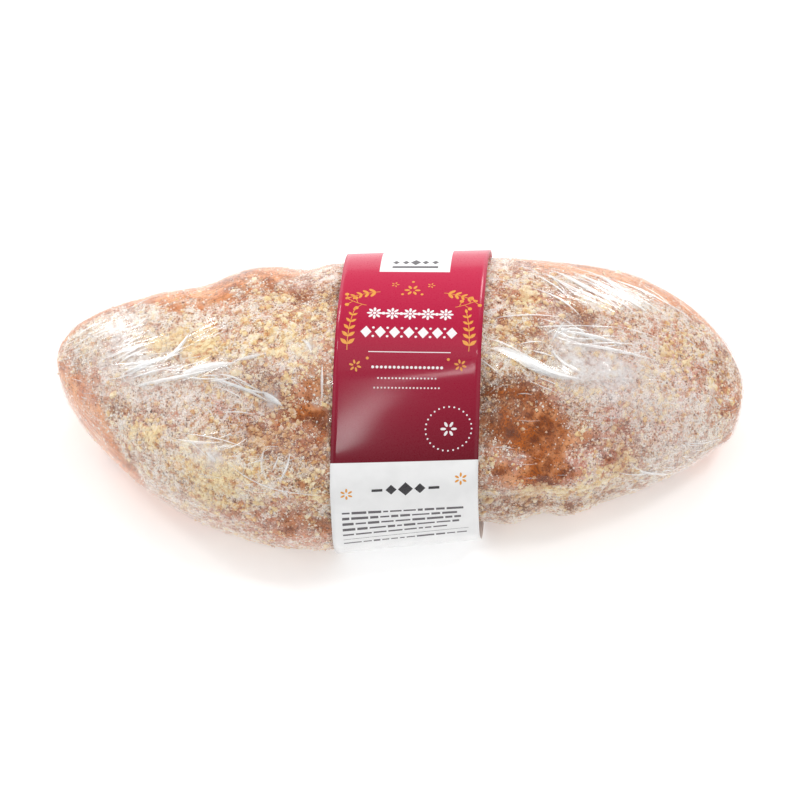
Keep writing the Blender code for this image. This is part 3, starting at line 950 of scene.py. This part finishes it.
class FoldedFilm:
    """Long low ridges with pointed ends, each laid on the film along a path of places and angles."""

    def __init__(self):
        self.lines = []
        self.sizes = []

    def fold(self, path, width, height, white):
        """A fold along a smooth curve through the points of its path."""
        path = np.array(path, float)
        share = np.linspace(0, 1, len(path))
        step = np.linspace(0, 1, FOLD_STEPS)
        curve = [np.polyval(np.polyfit(share, column, len(path) - 1), step) for column in path.T]
        self.lines.append(np.stack(curve, axis=1))
        self.sizes.append((width, height, white))

    def wrinkles(self, rng, place, degrees, reach, reach_degrees, direction, count, length, width, white):
        """Fine folds at random round a spot, running much the same way."""
        for _ in range(count):
            middle = np.array([place, degrees]) + rng.normal(size=2) * (reach, reach_degrees)
            middle[0] = np.clip(middle[0], -MIDDLE_LIMIT, MIDDLE_LIMIT)
            turn = math.radians(direction + WRINKLE_SPREAD * rng.normal())
            half = 0.5 * length * rng.uniform(0.4, 1.2)
            way = half * np.array([math.cos(turn), math.sin(turn)])
            bend = WRINKLE_BEND * half * rng.normal() * np.array([-math.sin(turn), math.cos(turn)])
            scale = np.array([HALF_LENGTH, DEGREE_LENGTH]) / MM
            points = [middle - way / scale, middle + bend / scale, middle + way / scale]
            points = [(np.clip(point[0], -END_LIMIT, END_LIMIT), point[1]) for point in points]
            size = width * rng.uniform(0.6, 1.5)
            self.fold(points, size, 0.08 + 0.3 * size, white * rng.uniform(0.6, 1.4))

    def lay(self, name, material):
        """All folds as one piece."""
        lines = np.array(self.lines) * (HALF_LENGTH, DEGREE_LENGTH)
        width, height, white = np.array(self.sizes).T[:, :, None]
        way = unit(np.gradient(lines, axis=1))
        side = np.stack([-way[..., 1], way[..., 0]], axis=-1)
        taper = np.sin(math.pi * np.linspace(0, 1, FOLD_STEPS)) ** 0.8
        across = (width * taper)[:, 1:-1, None] * FOLD_SECTION[:, 0] * MM
        body = lines[:, 1:-1, None] + side[:, 1:-1, None] * across[..., None]
        lift = (FOLD_RISE * height * taper)[:, 1:-1, None] * FOLD_SECTION[:, 1] * MM
        count, rings, columns = lift.shape
        spots = np.concatenate([body.reshape(count, -1, 2), lines[:, [0, -1]]], axis=1)
        lift = np.concatenate([lift.reshape(count, -1), np.zeros((count, 2))], axis=1)
        points, values = on_film(spots[..., 0] / HALF_LENGTH, spots[..., 1] / DEGREE_LENGTH, lift)
        # Folds are whitest along their middles and ridges: milky film and in part painted highlight
        shares = np.outer(0.3 + 0.9 * taper[1:-1], FOLD_SECTION[:, 2]).ravel()
        values["haze_and_glint"] = np.clip(white * np.concatenate([shares, [0, 0]]), 0, 0.98)
        values["creased"] = FOLD_CREASED * values["creased"]
        quads, fans = capped_faces(rings, columns)
        offsets = np.arange(count)[:, None, None] * (rings * columns + 2)
        faces = (quads + offsets).reshape(-1, 4).tolist() + (fans + offsets).reshape(-1, 3).tolist()
        values = {name: value.ravel() for name, value in values.items()}
        return add_piece(name, points.reshape(-1, 3), faces, material, values, shade_smooth=False)


folded_film = FoldedFilm()
for path, width, height, white in FOLDS:
    folded_film.fold(path, width, height, white)
fold_draws = np.random.default_rng(61)
for row in WRINKLES:
    folded_film.wrinkles(fold_draws, *row)
folded_film.lay("film_folds", film_material("folded_film", *FOLD_FINISH))


# ---------------------------------------------------------------- the printed paper band

BAND_TURNS = 480
BAND_RULINGS = 26
PAPER_THICK = 0.22 * MM

# The loaf's part under the band, in shares of half a turn along it; then how much of the band's right side
# rests on the loaf, and how far to both sides a ruling's hold is measured
BAND_REGION = (0.3, 0.7)
RIGHT_HOLD = 6 * MM
HOLD_REACH = 4 * MM


def loaf_reach(directions, first, last):
    """How far the loaf reaches in each direction of its section, over this part of the band's width."""
    turn, angle = np.meshgrid(np.linspace(*BAND_REGION, 161) * math.pi, np.linspace(0, 2 * math.pi, 241))
    x, y, z = np.moveaxis(loaf_points(-np.cos(turn), np.sin(turn), angle), -1, 0)
    along = x - BAND_PLACE - BAND_SKEW * y + BAND_LEAN * (z - BAND_HEART)
    under = (along >= first) & (along <= last)
    reaches = np.outer(np.cos(directions), y[under]) + np.outer(np.sin(directions), z[under] - BAND_HEART)
    return reaches.max(axis=1)


def loop_radius(turns, directions, reaches):
    """Radius at each turn of the convex loop that has these reaches."""
    facing = np.cos(turns[:, None] - directions[None, :])
    return np.where(facing > 0.02, reaches / np.maximum(facing, 0.02), 1.0).min(axis=1)


class BandForm:
    """The band's outer surface: rulings between a loop at its left edge and one at its right edge."""

    def __init__(self):
        directions = np.arange(360) * math.pi / 180
        half = BAND_WIDTH / 2
        to_back = np.clip(np.cos(directions - math.radians(30)), 0, 1) ** 2
        to_front = np.clip(-np.cos(directions), 0, 1) ** 2
        left_reach = loaf_reach(directions, -half, 0) + STAND_OFF_BACK * to_back
        right_reach = loaf_reach(directions, half - RIGHT_HOLD, half)
        right_reach = right_reach + STAND_OFF_BACK * to_back + STAND_OFF_FRONT * to_front
        for share in (0.25, 0.5, 0.75, 1.0):
            middle = (2 * share - 1) * half
            here = loaf_reach(directions, middle - HOLD_REACH, min(middle + HOLD_REACH, half))
            right_reach = np.maximum(right_reach, (here - (1 - share) * left_reach) / share)
        self.turns = np.linspace(0, 2 * math.pi, BAND_TURNS + 1)
        clearance = GAP + BAND_PAPER
        self.left = self.rounded(loop_radius(self.turns, directions, left_reach + clearance))
        self.right = self.rounded(loop_radius(self.turns, directions, right_reach + clearance))
        middle_loop = self.at_turn(np.full(BAND_TURNS + 1, 0.5), self.turns)
        steps = np.linalg.norm(np.diff(middle_loop, axis=0), axis=1)
        self.arcs = np.concatenate([[0], np.cumsum(steps)])

    def rounded(self, radius):
        """The radii with their corners eased over a few steps, as paper bends."""
        weights = np.exp(-0.5 * (np.arange(-6, 7) / 2.5) ** 2)
        padded = np.concatenate([radius[-7:-1], radius, radius[1:7]])
        return np.convolve(padded, weights / weights.sum(), "valid")

    def at_turn(self, share, turns, inward=0.0):
        """Points at this share of the width and this turn, moved inward from the outer surface."""
        radius = (1 - share) * np.interp(turns, self.turns, self.left)
        radius = radius + share * np.interp(turns, self.turns, self.right) - inward
        y = radius * np.cos(turns)
        z = radius * np.sin(turns) + BAND_HEART
        x = BAND_PLACE + (2 * share - 1) * BAND_WIDTH / 2 + BAND_SKEW * y - BAND_LEAN * (z - BAND_HEART)
        return np.stack([x, y, z], axis=-1) + SHIFT

    def at(self, across, arc, lift=0.0):
        """Points of the print: across from the middle, arc from the back over the top, lift off the paper."""
        share = np.asarray(across) / BAND_WIDTH + 0.5
        turns = np.interp(arc, self.arcs, self.turns)
        return self.at_turn(share, turns, -np.asarray(lift) + curl(share, turns))


def curl(share, turns):
    """How far the paper stands in from the solid's skin: nothing, but a little at the edges as it ripples."""
    ripple = 0.10 * np.sin(3 * turns + 0.6) * (2 * share - 1) ** 2
    return np.clip(0.12 + ripple, 0.02, 0.3) * MM


band_form = BandForm()
PERIMETER = band_form.arcs[-1]

# Fields of the print in metres: the tab's end along the arc, which runs from the back over the top, half the
# tab's width, and where the white foot starts; the foot's edge rises by the slope across the band
TAB_END = 34.4 * MM
TAB_HALF = 10.0 * MM
PANEL_START = 97.3 * MM
PANEL_SLOPE = 0.02

# In millimetres: the stretch of arc over which the crimson deepens towards the front as painted shade, and
# half the blur of a field's edge
RED_SHADE_RUN = (10, 100)
FIELD_EDGE = 0.05

# Share of that stretch at which a tone lies, and the tone
CRIMSON_SHADE_TONES = (
    (0.0, (216, 70, 100)), (0.25, (202, 40, 78)), (0.55, (176, 20, 60)), (0.8, (146, 18, 48)),
    (1.0, (104, 8, 28)),
)


def band_material():
    """Coated paper: crimson that deepens to the front as painted shade, a white tab on top and a white foot.
    """
    material, tree, shader = new_material("printed_paper")
    place = object_place(tree)
    print_map = add_node(tree, "UVMap", uv_map="print")
    split = add_node(tree, "SeparateXYZ", {0: print_map.outputs[0]})
    across, arc = split.outputs[0], split.outputs[1]
    # The print's crimson, deepened along the arc towards the front as painted shade
    crimson = tones(tree, spread_linear(tree, arc, *RED_SHADE_RUN), *CRIMSON_SHADE_TONES)
    fibre = mottle(tree, place, 0.35 * MM, 4, 0.6)
    broad = mottle(tree, place, 6 * MM, 2)
    red = mix(tree, spread(tree, fibre, 0.35, 0.75, 0.0, 0.02), crimson, paint(250, 190, 196))
    white = mix(tree, spread(tree, broad, 0.3, 0.7), paint(250, 250, 250), paint(244, 244, 244))
    lower = minus(tree, arc, times(tree, across, PANEL_SLOPE))
    foot = spread(tree, lower, PANEL_START / MM - FIELD_EDGE, PANEL_START / MM + FIELD_EDGE)
    to_side = calc(tree, "ABSOLUTE", across)
    on_tab = spread(tree, to_side, TAB_HALF / MM + FIELD_EDGE, TAB_HALF / MM - FIELD_EDGE)
    above = spread(tree, arc, TAB_END / MM + FIELD_EDGE, TAB_END / MM - FIELD_EDGE)
    plain = calc(tree, "MAXIMUM", foot, times(tree, on_tab, above))
    plug(tree, mix(tree, plain, red, white), shader.inputs["Base Color"])
    plug(tree, spread(tree, fibre, 0.3, 0.7, 0.27, 0.31), shader.inputs["Roughness"])
    grainy = plus(tree, times(tree, fibre, 0.08), broad)
    plug(tree, bump(tree, grainy, 0.03 * MM, 0.6), shader.inputs["Normal"])
    shader.inputs["Specular IOR Level"].default_value = 0.14
    shader.inputs["Coat Weight"].default_value = 0.25
    shader.inputs["Coat Roughness"].default_value = 0.10
    return material


def make_band():
    """Paper as a closed ring: an outer and an inner surface on the rulings, joined along both edges."""
    arc = np.linspace(0, PERIMETER, BAND_TURNS, endpoint=False)
    across = np.linspace(-0.5, 0.5, BAND_RULINGS + 1) * BAND_WIDTH
    across_grid, arc_grid = np.meshgrid(across, arc, indexing="ij")
    outer = band_form.at(across_grid, arc_grid)
    inner = band_form.at(across_grid, arc_grid, -PAPER_THICK)
    layers = np.concatenate([outer, inner[::-1], outer[:1]])
    quads = grid_faces(len(layers), BAND_TURNS)
    total = (len(layers) - 1) * BAND_TURNS
    quads = np.where(quads >= total, quads - total, quads)
    piece = add_piece("paper_band_print", layers[:-1], quads.tolist(), band_material())
    mesh = piece.data
    around = np.concatenate([across, across[::-1]]) / MM
    print_across = np.repeat(around, BAND_TURNS)
    print_arc = np.tile(arc / MM, len(layers) - 1)
    corner_points = quads.ravel()
    corner_arc = print_arc[corner_points].reshape(-1, 4)
    wrapped = (corner_arc.max(axis=1) - corner_arc.min(axis=1) > PERIMETER / MM / 2)[:, None]
    corner_arc = np.where(wrapped & (corner_arc < 1), PERIMETER / MM, corner_arc)
    layer = mesh.uv_layers.new(name="print")
    spots = np.stack([print_across[corner_points], corner_arc.ravel()], axis=1)
    layer.data.foreach_set("uv", spots.ravel())
    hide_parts("paper_band")
    return piece


make_band()


# ---------------------------------------------------------------- ornaments printed on the band

INK_LIFT = 0.02 * MM
INK_STEP = 0.6


def ink_material(name, colour, other, roughness=0.3):
    """Printing ink: two near tones in a fine mottle, a little glossier than the paper."""
    material, tree, shader = new_material(name)
    place = object_place(tree)
    grain = mottle(tree, place, 0.5 * MM, 3, 0.6)
    plug(tree, mix(tree, spread(tree, grain, 0.3, 0.7), colour, other), shader.inputs["Base Color"])
    plug(tree, spread(tree, grain, 0.3, 0.7, roughness - 0.05, roughness + 0.06), shader.inputs["Roughness"])
    plug(tree, bump(tree, grain, 0.02 * MM, 0.5), shader.inputs["Normal"])
    return material


class Ink:
    """Flat shapes of one ink, collected in the band's own millimetres and laid on it as one mesh."""

    def __init__(self):
        self.points = []
        self.faces = []
        self.count = 0

    def fan(self, outline):
        """A shape filled from its middle in rings fine enough to follow the paper: rows of across and arc."""
        outline = np.asarray(outline, float)
        middle = outline.mean(axis=0)
        parts = math.ceil(np.linalg.norm(outline - middle, axis=1).max() / INK_STEP)
        share = np.arange(parts)[None, :, None] / parts
        rim = (1 - share) * outline[:, None] + share * np.roll(outline, -1, axis=0)[:, None]
        rings = middle + (rim.reshape(-1, 2) - middle) * (np.arange(1, parts + 1) / parts)[:, None, None]
        count = rings.shape[1]
        here = np.arange(count)
        following = (here + 1) % count
        faces = [np.stack([here, following, np.full(count, parts * count)], axis=1)]
        for ring in range(parts - 1):
            inner = ring * count
            outer = inner + count
            faces.append(np.stack([outer + here, outer + following, inner + following], axis=1))
            faces.append(np.stack([outer + here, inner + following, inner + here], axis=1))
        self.points.append(np.concatenate([rings.reshape(-1, 2), middle[None]]))
        self.faces.append(np.concatenate(faces) + self.count)
        self.count += parts * count + 1

    def stroke(self, line, width):
        """A line of even width along points."""
        line = np.asarray(line, float)
        way = unit(np.gradient(line, axis=0))
        side = np.stack([-way[:, 1], way[:, 0]], axis=1) * width / 2
        self.points.append(np.concatenate([line + side, line - side]))
        here = np.arange(len(line) - 1)
        there = here + len(line)
        quads = np.stack([here, here + 1, there + 1, there], axis=1)
        self.faces.append(np.concatenate([quads[:, [0, 1, 2]], quads[:, [0, 2, 3]]]) + self.count)
        self.count += 2 * len(line)

    def lay(self, name, material):
        """The mesh of all shapes, each turned to face out of the paper."""
        flat = np.concatenate(self.points)
        faces = np.concatenate(self.faces)
        corners = flat[faces]
        first = corners[:, 1] - corners[:, 0]
        second = corners[:, 2] - corners[:, 0]
        inward = first[:, 0] * second[:, 1] - first[:, 1] * second[:, 0] > 0
        faces[inward] = faces[inward][:, ::-1]
        points = band_form.at(flat[:, 0] * MM, flat[:, 1] * MM, INK_LIFT)
        return add_piece(name, points, faces.tolist(), material, shade_smooth=False)


def turned(points, at, degrees):
    """Points turned and moved to a place on the band."""
    angle = math.radians(degrees)
    matrix = np.array([[math.cos(angle), math.sin(angle)], [-math.sin(angle), math.cos(angle)]])
    return np.asarray(points, float) @ matrix + np.array(at)


def ellipse(long, wide, corners=14):
    """An ellipse that starts at the origin and runs along the first direction."""
    t = np.linspace(0, 2 * math.pi, corners, endpoint=False)
    return np.stack([long / 2 * (1 - np.cos(t)), wide / 2 * np.sin(t)], axis=1)


def leaf(long, wide, corners=8):
    """A pointed leaf from the origin: two arcs that meet at its tips."""
    t = np.linspace(0, math.pi, corners)
    upper = np.stack([long * t / math.pi, wide / 2 * np.sin(t)], axis=1)
    lower = upper[::-1][1:-1] * np.array([1, -1])
    return np.concatenate([upper, lower])


def circle(at, radius, corners=12):
    """A circle round a point."""
    t = np.linspace(0, 2 * math.pi, corners, endpoint=False)
    return np.array(at) + radius * np.stack([np.cos(t), np.sin(t)], axis=1)


def dot(ink, at, radius):
    """A round dot."""
    ink.fan(circle(at, radius))


def lozenge(ink, at, half_wide, half_high):
    """A lozenge that stands on its tip."""
    ink.fan(np.array([(-half_wide, 0), (0, -half_high), (half_wide, 0), (0, half_high)]) + at)


def rule(ink, start, end, arc, width, steps):
    """A straight line of even width across the band."""
    ink.stroke(np.stack([np.linspace(start, end, steps), np.full(steps, arc)], axis=1), width)


def petal_star(ink, at, size, petals=6, turn=0.0):
    """A star of petals round an open middle."""
    for petal in range(petals):
        shape = ellipse(size * 0.62, size * 0.30) + np.array([size * 0.26, 0])
        ink.fan(turned(shape, at, turn + petal * 360 / petals))


def sprig(ink, at, degrees, length, pairs, bend, leaf_size, pointed=True):
    """A bent stalk with pairs of leaves that grow smaller towards its tip."""
    t = np.linspace(0, 1, 14)
    stalk = np.stack([length * t, bend * t**2], axis=1)
    ink.stroke(turned(stalk, at, degrees), 0.22)
    shape = leaf if pointed else ellipse
    for pair in range(pairs):
        share = (pair + 0.7) / (pairs + 0.4)
        root = np.array([length * share, bend * share**2])
        lean = math.degrees(math.atan2(2 * bend * share, length))
        size = leaf_size * (1.1 - 0.5 * share)
        for side in (-1, 1):
            blade = turned(shape(size, size * 0.42), root, lean + side * 48)
            ink.fan(turned(blade, at, degrees))
    lean = math.degrees(math.atan2(2 * bend, length))
    tip = turned(shape(leaf_size * 0.7, leaf_size * 0.3), (length, bend), lean)
    ink.fan(turned(tip, at, degrees))


def berry_twig(ink, at, degrees, length, berries, bend, radius):
    """A bent twig with berries on short stems at both sides."""
    t = np.linspace(0, 1, 10)
    ink.stroke(turned(np.stack([length * t, bend * t**2], axis=1), at, degrees), 0.2)
    for berry in range(berries):
        share = (berry + 0.8) / berries
        root = np.array([length * share, bend * share**2])
        side = 1 if berry % 2 else -1
        end = root + np.array([1.0, 1.7 * side]) * radius * 1.8
        ink.stroke(turned(np.linspace(root, end, 3), at, degrees), 0.18)
        ink.fan(turned(circle(end, radius), at, degrees))


GOLD_DOTS = ((-2.7, 45.4), (2.8, 45.3), (-18.2, 47.5), (18.3, 47.8), (-11.2, 68.3), (11.4, 68.4), (0, 39.6))


def draw_gold():
    """Gold sprigs, berries, stars and dots round the upper front, and two stars on the foot."""
    gold = Ink()
    sprig(gold, (-17.0, 66), -92, 13, 5, 1.6, 2.6)
    sprig(gold, (17.0, 66), -88, 13, 5, -1.6, 2.6)
    sprig(gold, (-9.0, 44.5), 172, 8.5, 4, -1.6, 2.3, pointed=False)
    sprig(gold, (9.0, 44.5), 8, 8.5, 4, 1.6, 2.3, pointed=False)
    berry_twig(gold, (-12.5, 50.5), 196, 6.0, 4, 1.0, 0.62)
    berry_twig(gold, (12.5, 50.5), -16, 6.0, 4, -1.0, 0.62)
    petal_star(gold, (0.0, 43.5), 2.6)
    petal_star(gold, (-14.5, 70.5), 2.0, turn=15)
    petal_star(gold, (14.8, 70.0), 2.0, turn=15)
    petal_star(gold, (-5.0, 41.0), 1.3, petals=5)
    petal_star(gold, (5.2, 41.2), 1.3, petals=5)
    for at in GOLD_DOTS:
        dot(gold, at, 0.42)
    petal_star(gold, (-16.0, 106.0), 2.1, turn=30)
    petal_star(gold, (15.7, 103.0), 2.1, turn=30)
    return gold


def draw_white():
    """White rosettes and lozenges with a rule and three rows of dots under them, and a ring of dots."""
    white = Ink()
    for place in range(5):
        middle = -10.0 + 5.0 * place
        petal_star(white, (middle, 53.5), 2.5, petals=8)
        dot(white, (middle, 53.5), 0.5)
    for place in range(4):
        dot(white, (-7.5 + 5.0 * place, 53.5), 0.55)
    for place in range(7):
        lozenge(white, (-12.0 + 4.0 * place, 60.2), 1.55, 1.9)
    for place in range(6):
        dot(white, (-10.0 + 4.0 * place, 58.8), 0.38)
        dot(white, (-10.0 + 4.0 * place, 61.6), 0.38)
    rule(white, -11, 12, 66.4, 0.25, 24)
    for row, half, gap, radius in ((70.8, 9.6, 1.2, 0.42), (73.9, 8.0, 1.0, 0.25), (76.6, 9.0, 1.0, 0.25)):
        for at in np.arange(-half, half + 0.1, gap):
            dot(white, (at, row), radius)
    for step in range(28):
        angle = 2 * math.pi * step / 28
        dot(white, (12.0 + 6.4 * math.cos(angle), 88.3 + 6.4 * math.sin(angle)), 0.26)
    petal_star(white, (12.0, 88.3), 2.6)
    return white


def draw_grey():
    """Grey lozenges over a bar on the tab, and rows of grey dashes on the foot."""
    grey = Ink()
    for at, size in ((-5.6, 1.0), (-2.8, 1.0), (0.0, 1.5), (2.8, 1.0), (5.6, 1.0)):
        lozenge(grey, (at, 28.6), size, 1.2 * size)
    rule(grey, -6.5, 6.5, 31.6, 1.1, 15)
    draws = np.random.default_rng(71)
    for row in range(7):
        arc = 113.0 + 2.1 * row
        if row == 5:
            rule(grey, -17.5, 17.5, arc, 0.15, 36)
            continue
        at = -17.5
        end = 17.0 - (5.0 if row == 4 else 2.0 * (row % 2))
        while at < end - 1.5:
            until = min(at + draws.uniform(1.2, 5.0), end)
            rule(grey, at, until, arc, draws.choice((0.6, 0.95)), 8)
            at = until + 0.55
    return grey


def draw_dark():
    """A short dark border in the middle of the foot: three lozenges between two bars."""
    dark = Ink()
    for at, size in ((-3.6, 1.4), (0.4, 1.9), (4.4, 1.4)):
        lozenge(dark, (at, 105.2), 1.1 * size, 1.1 * size)
    for start in (-9.0, 6.8):
        rule(dark, start, start + 3.0, 105.2, 0.8, 5)
    return dark


# Piece, its drawing, and the material's name and two tones
INKS = (
    ("gold_ornaments", draw_gold, "gold_ink", (240, 170, 76), (228, 150, 60)),
    ("white_ornaments", draw_white, "white_ink", (250, 246, 246), (240, 234, 236)),
    ("grey_rules", draw_grey, "grey_ink", (104, 100, 104), (84, 80, 84)),
    ("dark_border", draw_dark, "dark_ink", (72, 70, 72), (58, 56, 60)),
)
for piece_name, draw, ink_name, light_tone, deep_tone in INKS:
    draw().lay(piece_name, ink_material(ink_name, paint(*light_tone), paint(*deep_tone)))


# ---------------------------------------------------------------- floor, light and camera

CAMERA_DISTANCE = 1.2
CAMERA_HEIGHT_ANGLE = math.radians(60)
LENS = 189.3
SENSOR_WIDTH = 36.0
NEAREST = 0.05
LIGHT_DISTANCE = 1.2
WORLD_LIGHT = 0.395
FLOOR_HALF = 4.0
FLOOR_LEVEL = -0.2 * MM
FLOOR_GREY = 0.93
FLOOR_GLOW = 0.30
LIGHT_TARGET_HEIGHT = 30 * MM

# Azimuth from the front towards +X and elevation in degrees, width and height in metres, power in watts
SOFTBOXES = (
    ("ceiling", 180, 78, 0.95, 0.95, 2.6),
    ("left_panel", -72, 30, 1.00, 0.80, 2.6),
    ("right_panel", 72, 30, 1.00, 0.80, 2.1),
    ("left_high", -118, 46, 0.20, 0.20, 2.2),
    ("right_high", 98, 66, 0.22, 0.22, 2.4),
    ("left_back", -144, 17, 0.32, 0.20, 3.6),
    ("right_back", 157, 14, 0.24, 0.28, 3.4),
    ("front", 22, 72, 0.05, 0.05, 0.26),
)
VIEW_TARGET = np.array([0.0, SHIFT[1] + 0.25 * MM, 29.85 * MM])


def make_floor():
    """A plain pale floor, a little below the underside."""
    corners = [(x * FLOOR_HALF, y * FLOOR_HALF, FLOOR_LEVEL) for x, y in ((-1, -1), (1, -1), (1, 1), (-1, 1))]
    mesh = bpy.data.meshes.new("floor")
    mesh.from_pydata(corners, [], [(0, 1, 2, 3)])
    material, tree, shader = new_material("pale_floor")
    shader.inputs["Base Color"].default_value = (FLOOR_GREY, FLOOR_GREY, FLOOR_GREY, 1)
    shader.inputs["Roughness"].default_value = 0.8
    shader.inputs["Emission Color"].default_value = (1, 1, 1, 1)
    shader.inputs["Emission Strength"].default_value = FLOOR_GLOW
    mesh.materials.append(material)
    floor = put_in_scene("floor", mesh)


def add_softbox(name, azimuth, elevation, width, height, power):
    """A rectangular light that faces the loaf: azimuth from the front towards +X, in degrees."""
    around = math.radians(azimuth)
    up = math.radians(elevation)
    way = np.array([math.sin(around) * math.cos(up), -math.cos(around) * math.cos(up), math.sin(up)])
    light = bpy.data.lights.new(name, "AREA")
    light.shape = "RECTANGLE"
    light.size = width
    light.size_y = height
    light.energy = power
    lamp = put_in_scene(name, light)
    lamp.location = (way * LIGHT_DISTANCE + np.array([0, 0, LIGHT_TARGET_HEIGHT])).tolist()
    lamp.rotation_euler = (math.radians(90) - up, 0, around)


def make_studio():
    """White surroundings, a ceiling panel and softboxes to the sides, behind and in front."""
    world = bpy.data.worlds.new("studio")
    world.use_nodes = True
    background = world.node_tree.nodes["Background"]
    background.inputs["Color"].default_value = (1, 1, 1, 1)
    background.inputs["Strength"].default_value = WORLD_LIGHT
    bpy.context.scene.world = world
    for row in SOFTBOXES:
        add_softbox(*row)
    bpy.context.scene.view_settings.view_transform = "Standard"


def make_camera():
    """The camera at the viewing angle, looking at the middle of the loaf."""
    camera = bpy.data.cameras.new("camera")
    camera.lens = LENS
    camera.sensor_width = SENSOR_WIDTH
    camera.clip_start = NEAREST
    viewer = put_in_scene("camera", camera)
    way = np.array([0, -math.cos(CAMERA_HEIGHT_ANGLE), math.sin(CAMERA_HEIGHT_ANGLE)])
    viewer.location = (VIEW_TARGET + way * CAMERA_DISTANCE).tolist()
    viewer.rotation_euler = (math.radians(90) - CAMERA_HEIGHT_ANGLE, 0, 0)
    bpy.context.scene.camera = viewer


make_floor()
make_studio()
make_camera()
